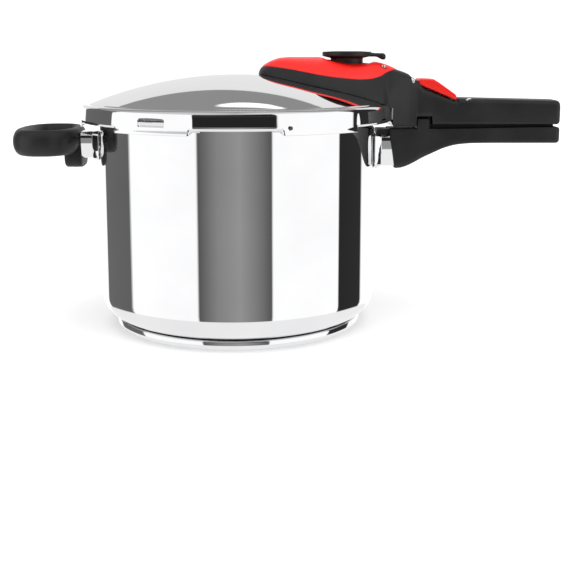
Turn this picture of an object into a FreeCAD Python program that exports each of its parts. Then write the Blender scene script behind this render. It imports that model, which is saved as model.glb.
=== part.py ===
import FreeCAD, Part
import math
import os
import Sketcher

# Stovetop pressure cooker. Origin: centre of the underside, +Z up, +X towards the long handle.
# Every length is in millimetres and every angle in degrees.

DOC = FreeCAD.newDocument("PressureCooker")
SHEET = DOC.addObject("Spreadsheet::Sheet", "Sizes")
NODES = []
ROWS = []


class Size:
    """A number with its present value and the formula that binds it to the sheet."""

    def __init__(self, value, formula):
        self.value = float(value)
        self.formula = formula

    def __add__(self, other):
        other = as_size(other)
        return Size(self.value + other.value, f"({self.formula} + {other.formula})")

    def __sub__(self, other):
        other = as_size(other)
        return Size(self.value - other.value, f"({self.formula} - {other.formula})")

    def __mul__(self, other):
        other = as_size(other)
        return Size(self.value * other.value, f"({self.formula} * {other.formula})")

    def __truediv__(self, other):
        other = as_size(other)
        return Size(self.value / other.value, f"({self.formula} / {other.formula})")

    def __rsub__(self, other):
        return as_size(other) - self

    def __neg__(self):
        return as_size(0) - self

    __radd__ = __add__
    __rmul__ = __mul__


def as_size(number):
    """Turns a plain number into a Size; a Size stays as it is."""
    if isinstance(number, Size):
        return number
    return Size(number, f"({float(number):.6f})")


def root(number):
    return Size(math.sqrt(number.value), f"sqrt({number.formula})")


def sine(angle):
    return Size(math.sin(math.radians(angle.value)), f"sin({angle.formula})")


def cosine(angle):
    return Size(math.cos(math.radians(angle.value)), f"cos({angle.formula})")


def size(alias, number, words):
    """One driving size: a row of the sheet with its meaning, its number and its alias."""
    ROWS.append(alias)
    row = len(ROWS)
    SHEET.set(f"A{row}", words)
    SHEET.set(f"B{row}", str(number))
    SHEET.setAlias(f"B{row}", alias)
    return Size(number, f"Sizes.{alias}")


# ---------------------------------------------------------------- driving sizes
clearance = size("clearance", 0.4, "gap between parts that pass each other")
fit = size("fit", 0.08, "radial gap of a running fit")

pot_radius = size("pot_radius", 111, "outer radius of the pot wall")
pot_wall = size("pot_wall", 1.0, "thickness of the pot sheet")
pot_rim = size("pot_rim", 170, "height of the top of the rim")
pot_corner = size("pot_corner", 18, "outer radius between wall and bottom")
rim_flange = size("rim_flange", 5, "width of the rolled rim outside the wall")
rim_thick = size("rim_thick", 2, "thickness of the rolled rim")
base_inset = size("base_inset", 11, "step in from the wall to the sandwich base")
base_height = size("base_height", 7, "height of the sandwich base")
base_sheet = size("base_sheet", 0.8, "thickness of the base cap")

lug_count = size("lug_count", 6, "bayonet lugs on each part")
lug_phase = size("lug_phase", -27.6, "azimuth of the first lug")
lid_lug_angle = size("lid_lug_angle", 29.6, "arc of a lid lug")
pot_lug_angle = size("pot_lug_angle", 24, "arc of a pot lug")
lug_clearance = size("lug_clearance", 2.3, "gap from the pot lugs to the inside of the lid skirt")

lid_overhang = size("lid_overhang", 14, "reach of the lid skirt beyond the pot wall")
lid_sheet = size("lid_sheet", 1.2, "thickness of the lid sheet")
dome_share = size("dome_share", 2.737, "radius of the dome's sphere over the radius of its edge")
dome_step = size("dome_step", 0.9, "height of the step from the ledge to the dome's edge")
ledge_width = size("ledge_width", 7, "width of the ledge from the skirt to the dome")
ledge_step = size("ledge_step", 1.6, "width of the step from dome to ledge")
gasket_height = size("gasket_height", 6.4, "height of the gasket")
skirt_drop = size("skirt_drop", 17.5, "depth of the skirt below the ledge")
skirt_flare = size("skirt_flare", 1, "flare of the skirt's lower edge")
lug_drop = size("lug_drop", 14.1, "depth of the lug lip below the ledge")
lug_lip = size("lug_lip", 7.4, "width of the inward lug lip")
lid_corner = size("lid_corner", 3.2, "outer radius between ledge and skirt")
window_length = size("window_length", 22.5, "length of the safety window")
window_height = size("window_height", 6, "height of the safety window")
window_azimuth = size("window_azimuth", -116.5, "azimuth of the safety window")

grip_reach = size("grip_reach", 135, "reach of both long handles beyond the lid skirt")
handle_width = size("handle_width", 32, "width of both long handles")
handle_gap = size("handle_gap", 1.6, "gap between the two long handles")
split_drop = size("split_drop", 12.4, "depth of the top of the pot handle below the rim")
root_gap = size("root_gap", 11, "gap from the pot wall to the pot handle, at its top")
tab_start = size("tab_start", 19.6, "gap from the lid skirt to the locating tab")
tab_depth = size("tab_depth", 9.4, "depth of the locating tab along the handle")
tab_height = size("tab_height", 8, "height of the locating tab")

valve_inset = size("valve_inset", 36.5, "distance of the regulator inside the lid skirt")
knob_radius = size("knob_radius", 19.8, "radius of the regulator knob")
knob_rise = size("knob_rise", 17.8, "height of the top of the knob above the dome")
safety_inset = size("safety_inset", 67, "distance of the safety valve inside the lid skirt")
pin_radius = size("pin_radius", 3, "radius of the lock pin")
pin_reach = size("pin_reach", 42, "distance of the lock pin beyond the lid skirt")
loop_reach = size("loop_reach", 69, "reach of the side handle beyond the pot wall")
loop_height = size("loop_height", 20, "height of the side handle's loop")
loop_half = size("loop_half", 44, "half the width of the side handle's loop")
loop_gap = size("loop_gap", 10, "gap from the pot wall to the side handle")
screw_radius = size("screw_radius", 2.2, "radius of the handle screws")

base_radius = pot_radius - base_inset
lid_radius = pot_radius + lid_overhang
pot_lug_reach = lid_overhang - lid_sheet - rim_flange - lug_clearance
dome_edge = lid_radius - ledge_width
dome_radius = dome_edge * dome_share
dome_rise = dome_radius - root(dome_radius * dome_radius - dome_edge * dome_edge) + dome_step
ledge_z = pot_rim + clearance + gasket_height + lid_sheet
dome_top = ledge_z + dome_rise
dome_centre = dome_top - dome_radius
skirt_z = ledge_z - skirt_drop
lip_z = ledge_z - lug_drop
handle_split = pot_rim - split_drop
handle_root = pot_radius + root_gap
handle_reach = lid_radius + grip_reach
tab_inner = lid_radius + tab_start
tab_outer = tab_inner + tab_depth
valve_x = lid_radius - valve_inset
safety_x = lid_radius - safety_inset
pin_x = lid_radius + pin_reach
knob_top = dome_top + knob_rise
loop_root = pot_radius + loop_gap
loop_end = pot_radius + loop_reach
# Heights on the housing are measured from the level of the split under the real dome.
deck_level = dome_top - 43.6


def dome_z(radius, depth=0):
    """Height of the dome at a distance from the axis, or of a sphere that much deeper."""
    sphere = dome_radius - depth
    return dome_centre + root(sphere * sphere - radius * radius)


# ---------------------------------------------------------------- helpers
def bind(thing, path, amount):
    amount = as_size(amount)
    thing.setExpression(path, amount.formula)


def keep(label, thing):
    """Marks an object as a finished sub-part and gives it its own label."""
    thing.Label = label
    NODES.append(thing)
    return thing


def place(thing, x=0, y=0, z=0, turn=0):
    """Moves a sub-part to a place, turned about the vertical by an angle."""
    upright = FreeCAD.Rotation(FreeCAD.Vector(0, 0, 1), 1)
    thing.Placement = FreeCAD.Placement(FreeCAD.Vector(0, 0, 0), upright)
    bind(thing, "Placement.Base.x", x)
    bind(thing, "Placement.Base.y", y)
    bind(thing, "Placement.Base.z", z)
    bind(thing, "Placement.Rotation.Angle", turn)
    return thing


def plane_of(body, role):
    return next(one for one in body.Origin.OriginFeatures if one.Role == role)


def new_body(label):
    return DOC.addObject("PartDesign::Body", label)


def new_sketch(body, role, shift=0):
    """A sketch on one of the body's origin planes, moved along the plane's normal."""
    sketch = body.newObject("Sketcher::SketchObject", body.Name + "_sketch")
    sketch.AttachmentSupport = (plane_of(body, role), [""])
    sketch.MapMode = "FlatFace"
    bind(sketch, "AttachmentOffset.Base.z", shift)
    return sketch


def hold(sketch, geometry, point, x, y):
    """Fixes a point of the sketch at (x, y), bound to the sheet."""
    for kind, amount in (("DistanceX", x), ("DistanceY", y)):
        row = sketch.addConstraint(Sketcher.Constraint(kind, -1, 1, geometry, point, amount.value))
        bind(sketch, f"Constraints[{row}]", amount)


def outline(sketch, corners):
    """Closed anticlockwise outline. A corner is (x, y), (x, y, radius) to round it,
    or (x, y, 0, arc) where the run that leaves it is an arc of that radius about a
    centre below the run (positive) or above it (negative)."""
    rows = [[as_size(number) for number in corner] for corner in corners]
    count = len(rows)
    points = [FreeCAD.Vector(row[0].value, row[1].value, 0) for row in rows]
    radii = [row[2].value if len(row) > 2 else 0.0 for row in rows]
    starts = []
    ends = []
    bends = {}
    for number in range(count):
        here = points[number]
        before = (points[number - 1] - here).normalize()
        after = (points[(number + 1) % count] - here).normalize()
        if radii[number] == 0:
            starts.append(here)
            ends.append(here)
            continue
        half = before.getAngle(after) / 2
        run = radii[number] / math.tan(half)
        centre = here + (before + after).normalize() * (radii[number] / math.sin(half))
        ends.append(here + before * run)
        starts.append(here + after * run)
        outward = before.cross(after).z < 0
        bends[number] = (centre, outward)
    runs = []
    for number in range(count):
        first = starts[number]
        last = ends[(number + 1) % count]
        row = rows[number]
        if len(row) > 3:
            runs.append(add_arc_run(sketch, first, last, row[3]))
        else:
            runs.append((sketch.addGeometry(Part.LineSegment(first, last)), 1, 2))
    for number in range(count):
        into, _, into_end = runs[number - 1]
        out, out_start, _ = runs[number]
        if number not in bends:
            joint = Sketcher.Constraint("Coincident", into, into_end, out, out_start)
            sketch.addConstraint(joint)
            hold(sketch, out, out_start, rows[number][0], rows[number][1])
            continue
        centre, outward = bends[number]
        add_bend(sketch, centre, outward, ends[number], starts[number], into, out, rows[number])
    return sketch


def add_arc_run(sketch, first, last, radius):
    """An arc from first to last about a centre under it, or over it for a negative radius."""
    chord = last - first
    reach = abs(radius.value)
    rise = math.sqrt(reach * reach - chord.Length * chord.Length / 4)
    across = FreeCAD.Vector(-chord.y, chord.x, 0).normalize()
    if across.y > 0:
        across = -across
    if radius.value < 0:
        across = -across
    centre = (first + last) * 0.5 + across * rise
    angles = [math.atan2((end - centre).y, (end - centre).x) for end in (first, last)]
    forward = (first - centre).cross(last - centre).z > 0
    low, high = angles if forward else (angles[1], angles[0])
    if high < low:
        high += 2 * math.pi
    circle = Part.Circle(centre, FreeCAD.Vector(0, 0, 1), reach)
    arc = sketch.addGeometry(Part.ArcOfCircle(circle, low, high))
    row = sketch.addConstraint(Sketcher.Constraint("Radius", arc, reach))
    bind(sketch, f"Constraints[{row}]", radius if radius.value > 0 else -radius)
    return (arc, 1, 2) if forward else (arc, 2, 1)


def add_bend(sketch, centre, outward, first, last, into, out, row):
    """A tangent arc that rounds the corner between two straight runs."""
    begin, finish = (first, last) if outward else (last, first)
    low = math.atan2((begin - centre).y, (begin - centre).x)
    high = math.atan2((finish - centre).y, (finish - centre).x)
    if high < low:
        high += 2 * math.pi
    circle = Part.Circle(centre, FreeCAD.Vector(0, 0, 1), row[2].value)
    arc = sketch.addGeometry(Part.ArcOfCircle(circle, low, high))
    near, far = (1, 2) if outward else (2, 1)
    corner = sketch.addGeometry(Part.Point(FreeCAD.Vector(row[0].value, row[1].value, 0)), True)
    hold(sketch, corner, 1, row[0], row[1])
    sketch.addConstraint(Sketcher.Constraint("PointOnObject", corner, 1, into))
    sketch.addConstraint(Sketcher.Constraint("PointOnObject", corner, 1, out))
    sketch.addConstraint(Sketcher.Constraint("Tangent", into, 2, arc, near))
    sketch.addConstraint(Sketcher.Constraint("Tangent", arc, far, out, 1))
    number = sketch.addConstraint(Sketcher.Constraint("Radius", arc, row[2].value))
    bind(sketch, f"Constraints[{number}]", row[2])


def turned(body, corners, angle=360, kind="Revolution", role="XZ_Plane"):
    """Turns an outline in the XZ plane about the body's Z axis."""
    sketch = outline(new_sketch(body, role), corners)
    feature = body.newObject("PartDesign::" + kind, body.Name + "_" + kind)
    feature.Profile = sketch
    feature.ReferenceAxis = (sketch, ["V_Axis"])
    feature.Midplane = True
    bind(feature, "Angle", angle)
    return feature


def raised(body, role, corners, length, shift=0, even=True, kind="Pad"):
    """Pads an outline across one of the origin planes, evenly or to one side."""
    sketch = outline(new_sketch(body, role, shift), corners)
    feature = body.newObject("PartDesign::" + kind, body.Name + "_" + kind)
    feature.Profile = sketch
    feature.SideType = "Symmetric" if even else "One side"
    bind(feature, "Length", length)
    return feature


def lofted(body, sections):
    """Lofts outlines that stand across the X axis, each as (x, corners)."""
    sketches = [outline(new_sketch(body, "YZ_Plane", x), corners) for x, corners in sections]
    feature = body.newObject("PartDesign::AdditiveLoft", body.Name + "_loft")
    feature.Profile = sketches[0]
    feature.Sections = sketches[1:]
    return feature


def repeated(body, features):
    """Repeats features around the Z axis, once for each bayonet lug."""
    pattern = body.newObject("PartDesign::PolarPattern", body.Name + "_ring")
    pattern.Originals = features
    pattern.Axis = (plane_of(body, "Z_Axis"), [""])
    pattern.Angle = 360
    bind(pattern, "Occurrences", lug_count)
    body.Tip = pattern
    return pattern


def box(low, high):
    """A box between two corners."""
    thing = DOC.addObject("Part::Box", "Block")
    for edge, axis, first, last in zip(("Length", "Width", "Height"), "xyz", low, high):
        bind(thing, edge, as_size(last) - first)
        bind(thing, f"Placement.Base.{axis}", first)
    return thing


def rod(radius, low, high, x=0, y=0):
    """An upright cylinder between two heights."""
    thing = DOC.addObject("Part::Cylinder", "Rod")
    bind(thing, "Radius", radius)
    bind(thing, "Height", as_size(high) - low)
    bind(thing, "Placement.Base.x", x)
    bind(thing, "Placement.Base.y", y)
    bind(thing, "Placement.Base.z", low)
    return thing


def nut(across, low, high, x=0, y=0):
    """A hexagonal block with its size across flats."""
    thing = DOC.addObject("Part::Prism", "Hexagon")
    thing.Polygon = 6
    bind(thing, "Circumradius", across / math.sqrt(3))
    bind(thing, "Height", as_size(high) - low)
    bind(thing, "Placement.Base.x", x)
    bind(thing, "Placement.Base.y", y)
    bind(thing, "Placement.Base.z", low)
    return thing


def cut(base, *tools):
    """Takes each tool away from the base in turn."""
    for tool in tools:
        result = DOC.addObject("Part::Cut", "Cut")
        result.Base = base
        result.Tool = tool
        base = result
    return base


def joined(*pieces):
    result = DOC.addObject("Part::MultiFuse", "Union")
    result.Shapes = list(pieces)
    return result


def slab(name, role, corners, length, shift=0):
    """A body that is one outline padded evenly across an origin plane."""
    body = new_body(name)
    raised(body, role, corners, length, shift)
    return body


def ring(name, corners, angle=360, turn=0):
    """A body that is one outline turned about the Z axis."""
    body = new_body(name)
    turned(body, corners, angle)
    return place(body, turn=turn)


def sector(name, inner, outer, low, high, angle, turn=0):
    """A piece of a ring with a rectangular section."""
    corners = [(inner, low), (outer, low), (outer, high), (inner, high)]
    return ring(name, corners, angle, turn)


def spring(radius, wire, low, high, turns, x=0, y=0):
    """A compression spring: a round wire swept along a helix."""
    coil = DOC.addObject("Part::Helix", "Coil")
    bind(coil, "Radius", radius - wire)
    bind(coil, "Height", as_size(high) - low - wire * 2)
    bind(coil, "Pitch", (as_size(high) - low - wire * 2) / turns)
    section = DOC.addObject("Part::Circle", "Wire")
    upright = FreeCAD.Rotation(FreeCAD.Vector(1, 0, 0), 90)
    section.Placement = FreeCAD.Placement(FreeCAD.Vector(0, 0, 0), upright)
    bind(section, "Radius", wire)
    bind(section, "Placement.Base.x", radius - wire)
    sweep = DOC.addObject("Part::Sweep", "Spring")
    sweep.Sections = [section]
    sweep.Spine = (coil, ["Edge1"])
    sweep.Solid = True
    sweep.Frenet = True
    return place(sweep, x, y, as_size(low) + wire)


def screw(label, radius, head, head_low, head_high, tip, x, y=0):
    """A screw that points up: its head below and its shank above."""
    pieces = (rod(head, head_low, head_high, x, y), rod(radius, head_high, tip, x, y))
    return keep(label, joined(*pieces))


# ---------------------------------------------------------------- pot
def pot_shell():
    inside = pot_radius - pot_wall
    edge = pot_radius + rim_flange
    body = new_body("pot_shell_body")
    turned(body, [
        (0, base_height),
        (pot_radius, base_height, pot_corner),
        (pot_radius, pot_rim - rim_thick, 1.5),
        (edge, pot_rim - rim_thick),
        (edge, pot_rim, 1),
        (inside, pot_rim, 1.2),
        (inside, base_height + pot_wall, pot_corner - pot_wall),
        (0, base_height + pot_wall),
    ])
    low = pot_rim - rim_thick - 0.6
    high = pot_rim - 0.5
    tip = edge + pot_lug_reach
    lug = turned(body, [(edge - 2, low), (tip, low), (tip, high), (edge - 2, high)], pot_lug_angle)
    repeated(body, [lug])
    return keep("pot_shell", place(body, turn=lug_phase))


def base_cap():
    body = new_body("base_cap_body")
    inside = base_radius - base_sheet
    lip = base_height - 0.4
    turned(body, [
        (0, 0),
        (base_radius, 0, 3),
        (base_radius, lip),
        (inside, lip),
        (inside, base_sheet, 2),
        (0, base_sheet),
    ])
    return keep("base_cap", body)


def base_core():
    body = new_body("base_core_body")
    edge = base_radius - base_sheet - 0.1
    low = base_sheet + 0.05
    turned(body, [(0, low), (edge, low, 2), (edge, base_height), (0, base_height)])
    return keep("base_core", body)


plate_thick = 1.5
plate_outer = pot_radius + plate_thick
tongue_half = 7
guard_wall = 1.2
guard_top = handle_split - 4
guard_drop = 27
guard_half = handle_width / 2 - 1
root_slope = 5
root_drop = 32


def bracket(label, end, tongue_low, tongue_high, plate_low, plate_high, hole_x, turn):
    """A steel plate against the wall with a tongue that the handle slips over."""
    plate = sector(label + "_plate", pot_radius, plate_outer, plate_low, plate_high, 22)
    tongue = box((plate_outer - 1, -tongue_half, tongue_low), (end, tongue_half, tongue_high))
    body = cut(joined(plate, tongue), rod(screw_radius + 0.05, tongue_low - 1, tongue_high + 1, hole_x))
    return keep(label, place(body, turn=turn))


def flame_guard(label, half, low, high, keep_off, turn):
    """A bright sleeve between the wall and the handle, open at both ends."""
    inner = half - guard_wall
    tube = new_body(label + "_tube")
    corner = 5
    raised(tube, "YZ_Plane", [
        (-half, low, corner), (half, low, corner), (half, high, corner), (-half, high, corner),
    ], 50, shift=pot_radius + 12)
    raised(tube, "YZ_Plane", [
        (-inner, low + guard_wall, corner - 1), (inner, low + guard_wall, corner - 1),
        (inner, high - guard_wall, corner - 1), (-inner, high - guard_wall, corner - 1),
    ], 60, shift=pot_radius + 12, kind="Pocket")
    wall = rod(plate_outer + 0.05, low - 5, high + 5)
    return keep(label, place(cut(tube, wall, keep_off), turn=turn))


def long_handle_fittings():
    low = guard_top - guard_drop
    beyond = slab("pot_handle_space", "XZ_Plane", [
        (handle_root + root_slope - 0.1, handle_split - root_drop - 5),
        (handle_root + 90, handle_split - root_drop - 5),
        (handle_root + 90, handle_split + 5),
        (handle_root - 0.1, handle_split + 5),
        (handle_root - 0.1, handle_split),
        (handle_root + root_slope - 0.1, handle_split - root_drop),
    ], 80)
    flame_guard("long_handle_guard", guard_half, low, guard_top, beyond, 0)
    bracket("long_handle_bracket", handle_root + 26, guard_top - 18, guard_top - 10,
            low - 3, guard_top + 2.5, handle_root + 14, 0)


def pot_handle():
    """The lower long handle, with the tab that enters the lid handle's notch."""
    top = handle_split
    rise = 1.4
    end = handle_reach
    body = new_body("pot_handle_body")
    raised(body, "XZ_Plane", [
        (handle_root + root_slope, top - root_drop, 2),
        (handle_root + 17, top - 28.6, 20),
        (handle_root + 32, top - 21.6, 20),
        (handle_root + 46, top - 14.5, 30),
        (handle_root + 66, top - 12.2, 30),
        (end - 50, top - 11.8, 60),
        (end - 0.6, top - 11.8, 3),
        (end, top + rise, 1.5),
        (handle_root, top, 1),
    ], handle_width)
    half_turn = math.degrees(math.asin(handle_width.value / 2 / tab_outer.value))
    tab = sector("pot_handle_tab", tab_inner, tab_outer, top - 4, top + tab_height, 2 * half_turn)
    sides = box((tab_inner - 5, -handle_width / 2, top - 5), (tab_outer + 5, handle_width / 2, top + 20))
    tab = common(tab, sides)
    slot_low = guard_top - 18 - 0.3
    slot_high = guard_top - 10 + 0.3
    slot_half = tongue_half + 0.3
    slot = box((handle_root - 5, -slot_half, slot_low), (handle_root + 26.5, slot_half, slot_high))
    screw_x = handle_root + 14
    shank = rod(screw_radius + 0.1, top - 60, slot_low + 1, screw_x)
    seat = rod(5, top - 60, slot_low - 3, screw_x)
    socket = rod(pin_radius + 0.6, top - 8, top + 20, pin_x)
    keep("pot_handle", cut(joined(body, tab), slot, shank, seat, socket))
    screw("pot_handle_screw", screw_radius, 4.4, slot_low - 5.6, slot_low - 3, slot_high - 1, screw_x)


def common(first, second):
    result = DOC.addObject("Part::Common", "Common")
    result.Base = first
    result.Tool = second
    return result


def side_handle():
    """The black loop on the far side of the pot, with its boss, bracket and guard."""
    top = handle_split
    low = top - loop_height
    bar = 12
    root_bar = 10
    inner_half = loop_half - bar
    body = new_body("side_handle_body")
    raised(body, "XY_Plane", [
        (loop_root, -loop_half, 24), (loop_end, -loop_half, 34),
        (loop_end, loop_half, 34), (loop_root, loop_half, 24),
    ], loop_height, shift=low, even=False)
    raised(body, "XY_Plane", [
        (loop_root + root_bar, -inner_half, 14), (loop_end - bar, -inner_half, 22),
        (loop_end - bar, inner_half, 22), (loop_root + root_bar, inner_half, 14),
    ], loop_height + 20, shift=low - 10, even=False, kind="Pocket").Reversed = True
    DOC.recompute()
    soften(body, 4, lambda edge: edge.BoundBox.ZLength < 0.01)
    boss = slab("side_handle_boss", "YZ_Plane", [
        (-14, low - 9.5, 4), (14, low - 9.5, 4), (14, top - 6, 2), (-14, top - 6, 2),
    ], 14, shift=loop_root + 7)
    trim = box((loop_root + root_bar, -20, low + 2), (loop_root + 40, 20, top + 5))
    slot_low = low + 2.2
    slot_high = low + 10.8
    slot = box((loop_root - 5, -tongue_half - 0.3, slot_low), (loop_root + 9, tongue_half + 0.3, slot_high))
    screw_x = loop_root + 5
    shank = rod(screw_radius + 0.1, low - 30, slot_low + 1, screw_x)
    seat = rod(4.2, low - 30, slot_low - 3, screw_x)
    result = cut(joined(body, cut(boss, trim)), slot, shank, seat)
    keep("side_handle", place(result, turn=180))
    head = rod(3.6, slot_low - 5.6, slot_low - 3, screw_x)
    bolt = (head, rod(screw_radius, slot_low - 3, slot_high - 1, screw_x))
    keep("side_handle_screw", place(joined(*bolt), turn=180))
    space = box((loop_root - 0.1, -40, low - 20), (loop_root + 90, 40, top + 20))
    flame_guard("side_handle_guard", 15, low - 4.5, top - 2.5, space, 180)
    bracket("side_handle_bracket", loop_root + 8.6, slot_low + 0.3, slot_high - 0.3,
            low - 6, top + 0.5, screw_x, 180)


def soften(body, radius, chosen):
    """Rounds the edges of the body's present tip that pass a test."""
    base = body.Tip
    names = [f"Edge{number + 1}" for number, edge in enumerate(base.Shape.Edges) if chosen(edge)]
    fillet = body.newObject("PartDesign::Fillet", body.Name + "_fillet")
    fillet.Base = (base, names)
    bind(fillet, "Radius", radius)
    return fillet


# ---------------------------------------------------------------- lid
def lid_outline(grow=0):
    """Outline of the lid sheet; its outer side grows by a clearance for a keep-out body."""
    outer = lid_radius + grow
    step = dome_edge + ledge_step
    inner = lid_radius - lid_sheet
    return [
        (0, dome_z(as_size(0), lid_sheet), 0, dome_radius - lid_sheet),
        (dome_edge - 0.3, dome_z(dome_edge - 0.3, lid_sheet)),
        (step - 0.3, ledge_z - lid_sheet),
        (inner, ledge_z - lid_sheet, lid_corner - lid_sheet),
        (inner, skirt_z + 3.5),
        (inner + skirt_flare, skirt_z),
        (outer + skirt_flare, skirt_z),
        (outer, skirt_z + 3.5),
        (outer, ledge_z + grow, lid_corner),
        (step, ledge_z + grow, 1),
        (dome_edge, dome_z(dome_edge) + grow, 0, dome_radius + grow),
        (0, dome_z(as_size(0)) + grow),
    ]


def lid_shell():
    body = new_body("lid_shell_body")
    turned(body, lid_outline())
    inner = lid_radius - lid_sheet
    tip = lid_radius - lug_lip
    gap = turned(body, [
        (inner - 1, skirt_z - 1), (lid_radius + 3, skirt_z - 1),
        (lid_radius + 3, lip_z), (inner - 1, lip_z),
    ], lid_lug_angle, "Groove")
    lug = turned(body, [
        (tip, lip_z), (lid_radius, lip_z, 1.8), (lid_radius, lip_z + 3), (inner, lip_z + 3),
        (inner, lip_z + 1.4), (tip, lip_z + 1.4),
    ], lid_lug_angle)
    repeated(body, [gap, lug])
    place(body, turn=lug_phase)
    middle = ledge_z - 9
    half = window_length / 2
    window = slab("window_space", "YZ_Plane", [
        (-half, middle - window_height / 2, 1.2), (half, middle - window_height / 2, 1.2),
        (half, middle + window_height / 2, 2.4), (-half, middle + window_height / 2, 2.4),
    ], 12, shift=lid_radius)
    place(window, turn=window_azimuth)
    holes = (
        rod(stem_radius + 0.2, ledge_z, knob_top, valve_x),
        rod(safety_radius + 0.2, ledge_z, knob_top, safety_x),
        rod(bush_radius + 0.1, ledge_z - 5, knob_top, flag_x, flag_y),
        rod(bolt_radius + 0.2, ledge_z, knob_top, bolt_x),
    )
    keep("lid_shell", cut(body, window, *holes))


stem_radius = 8
stem_neck = 5
plunger_radius = 3
safety_radius = 6
safety_bore = 2.5
bush_radius = 4
flag_x = lid_radius - 21
flag_y = -12
flag_tip_x = flag_x + 13
flag_top = deck_level + 50.4
bolt_radius = 2.5
bolt_x = lid_radius - 90


def lid_gasket():
    """A silicone ring with a lip, under the ledge of the lid."""
    low = pot_rim + clearance
    high = ledge_z - lid_sheet - 0.1
    inner = pot_radius + 1.9
    outer = lid_radius - lid_sheet - 1.2
    body = new_body("lid_gasket_body")
    turned(body, [
        (inner, low, 0.6), (outer, low, 0.8), (outer, high, 0.8), (inner + 2, high),
        (inner + 2, high - 1.8), (inner + 6, high - 2.4), (inner + 6, low + 1.8), (inner, low + 1.4),
    ])
    keep("lid_gasket", body)


def stop_stud():
    """A small round stud on the skirt, beside the front lug."""
    body = new_body("stop_stud_body")
    azimuth = lug_phase - as_size(360) / lug_count + lid_lug_angle / 2 + 2.8
    turned(body, [(0, -1), (1.4, -1), (1.4, 0.4, 0.3), (0, 0.4)])
    upright = FreeCAD.Rotation(FreeCAD.Vector(0, 0, 1), azimuth.value)
    outward = FreeCAD.Rotation(FreeCAD.Vector(0, 1, 0), 90)
    body.Placement = FreeCAD.Placement(FreeCAD.Vector(0, 0, 0), upright.multiply(outward))
    reach = lid_radius + 0.05
    bind(body, "Placement.Base.x", (reach + 1) * cosine(azimuth))
    bind(body, "Placement.Base.y", (reach + 1) * sine(azimuth))
    bind(body, "Placement.Base.z", skirt_z + 5.5)
    keep("stop_stud", body)


# ---------------------------------------------------------------- valves
def nut_seat():
    """Floor of the round well that the regulator's nut sits in, above the dome all round."""
    return dome_z(valve_x - 13) + 0.3


def regulator_valve():
    """Stem, nut, seal, screen and spring of the regulator, and the plunger inside."""
    flange_top = dome_z(valve_x + 11, lid_sheet) - 2
    flange_low = flange_top - 3
    nut_low = nut_seat() + 0.1
    stem_top = knob_top - 6
    bore_low = flange_low + 1.5
    stem = new_body("valve_stem_body")
    bore = as_size(plunger_radius) + fit
    turned(stem, [
        (1.5, flange_low), (10.5, flange_low, 0.5), (10.5, flange_top), (stem_radius, flange_top),
        (stem_radius, nut_low + 10), (stem_neck, nut_low + 11), (stem_neck, stem_top),
        (bore, stem_top), (bore, bore_low), (1.5, bore_low),
    ])
    keep("valve_stem", place(stem, x=valve_x))
    body = cut(nut(as_size(21), nut_low, nut_low + 4.5, valve_x),
               rod(stem_radius + 0.05, nut_low - 1, nut_low + 6, valve_x))
    keep("valve_nut", body)
    seal = ring("valve_seal_body", [
        (stem_radius + 0.05, flange_top + 0.05), (11, flange_top + 0.05),
        (11, flange_top + 1.7), (stem_radius + 0.05, flange_top + 1.7),
    ])
    keep("valve_seal", place(seal, x=valve_x))
    screen = ring("steam_screen_body", [
        (0, flange_low - 4.2), (6.5, flange_low - 4.2, 1), (6.5, flange_low - 0.05),
        (5.7, flange_low - 0.05), (5.7, flange_low - 3.4), (0, flange_low - 3.4),
    ])
    keep("steam_screen", place(screen, x=valve_x))
    keep("valve_spring", spring(plunger_radius - 0.2, 0.4, bore_low + 11.8, stem_top - 1, 7, valve_x))
    plunger = ring("regulator_plunger_body", [
        (0, bore_low + 0.1), (0.8, bore_low + 0.1), (plunger_radius, bore_low + 1.6),
        (plunger_radius, bore_low + 10), (0, bore_low + 10),
    ])
    keep("regulator_plunger", place(plunger, x=valve_x))
    return stem_top


def regulator_knob(stem_top):
    """A disc with a finger lever, over a round neck that turns on the stem."""
    hub = stem_neck + fit
    bush = 8
    disc_low = knob_top - 4
    neck = 12.9
    skirt = dome_z(valve_x - 10) + 10
    body = new_body("regulator_knob_body")
    turned(body, [
        (0, stem_top + 0.5), (bush + 0.02, stem_top + 0.5), (bush + 0.02, stem_top - 6),
        (stem_radius + 0.7, stem_top - 6), (stem_radius + 0.7, skirt), (neck, skirt),
        (neck, disc_low, 1), (knob_radius, disc_low, 1), (knob_radius, knob_top, 1.5), (0, knob_top),
    ])
    raised(body, "XY_Plane", [
        (10, -7), (knob_radius - 1, -6, 4), (knob_radius + 11.6, -4.5, 4),
        (knob_radius + 11.6, 4.5, 4), (knob_radius - 1, 6, 4), (10, 7),
    ], 2.8, shift=knob_top - 3.4, even=False)
    keep("regulator_knob", place(body, x=valve_x))
    sleeve = ring("regulator_bush_body", [
        (hub, stem_top - 5.8), (bush, stem_top - 5.8), (bush, stem_top + 0.4), (hub, stem_top + 0.4),
    ])
    keep("regulator_bush", place(sleeve, x=valve_x))


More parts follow.
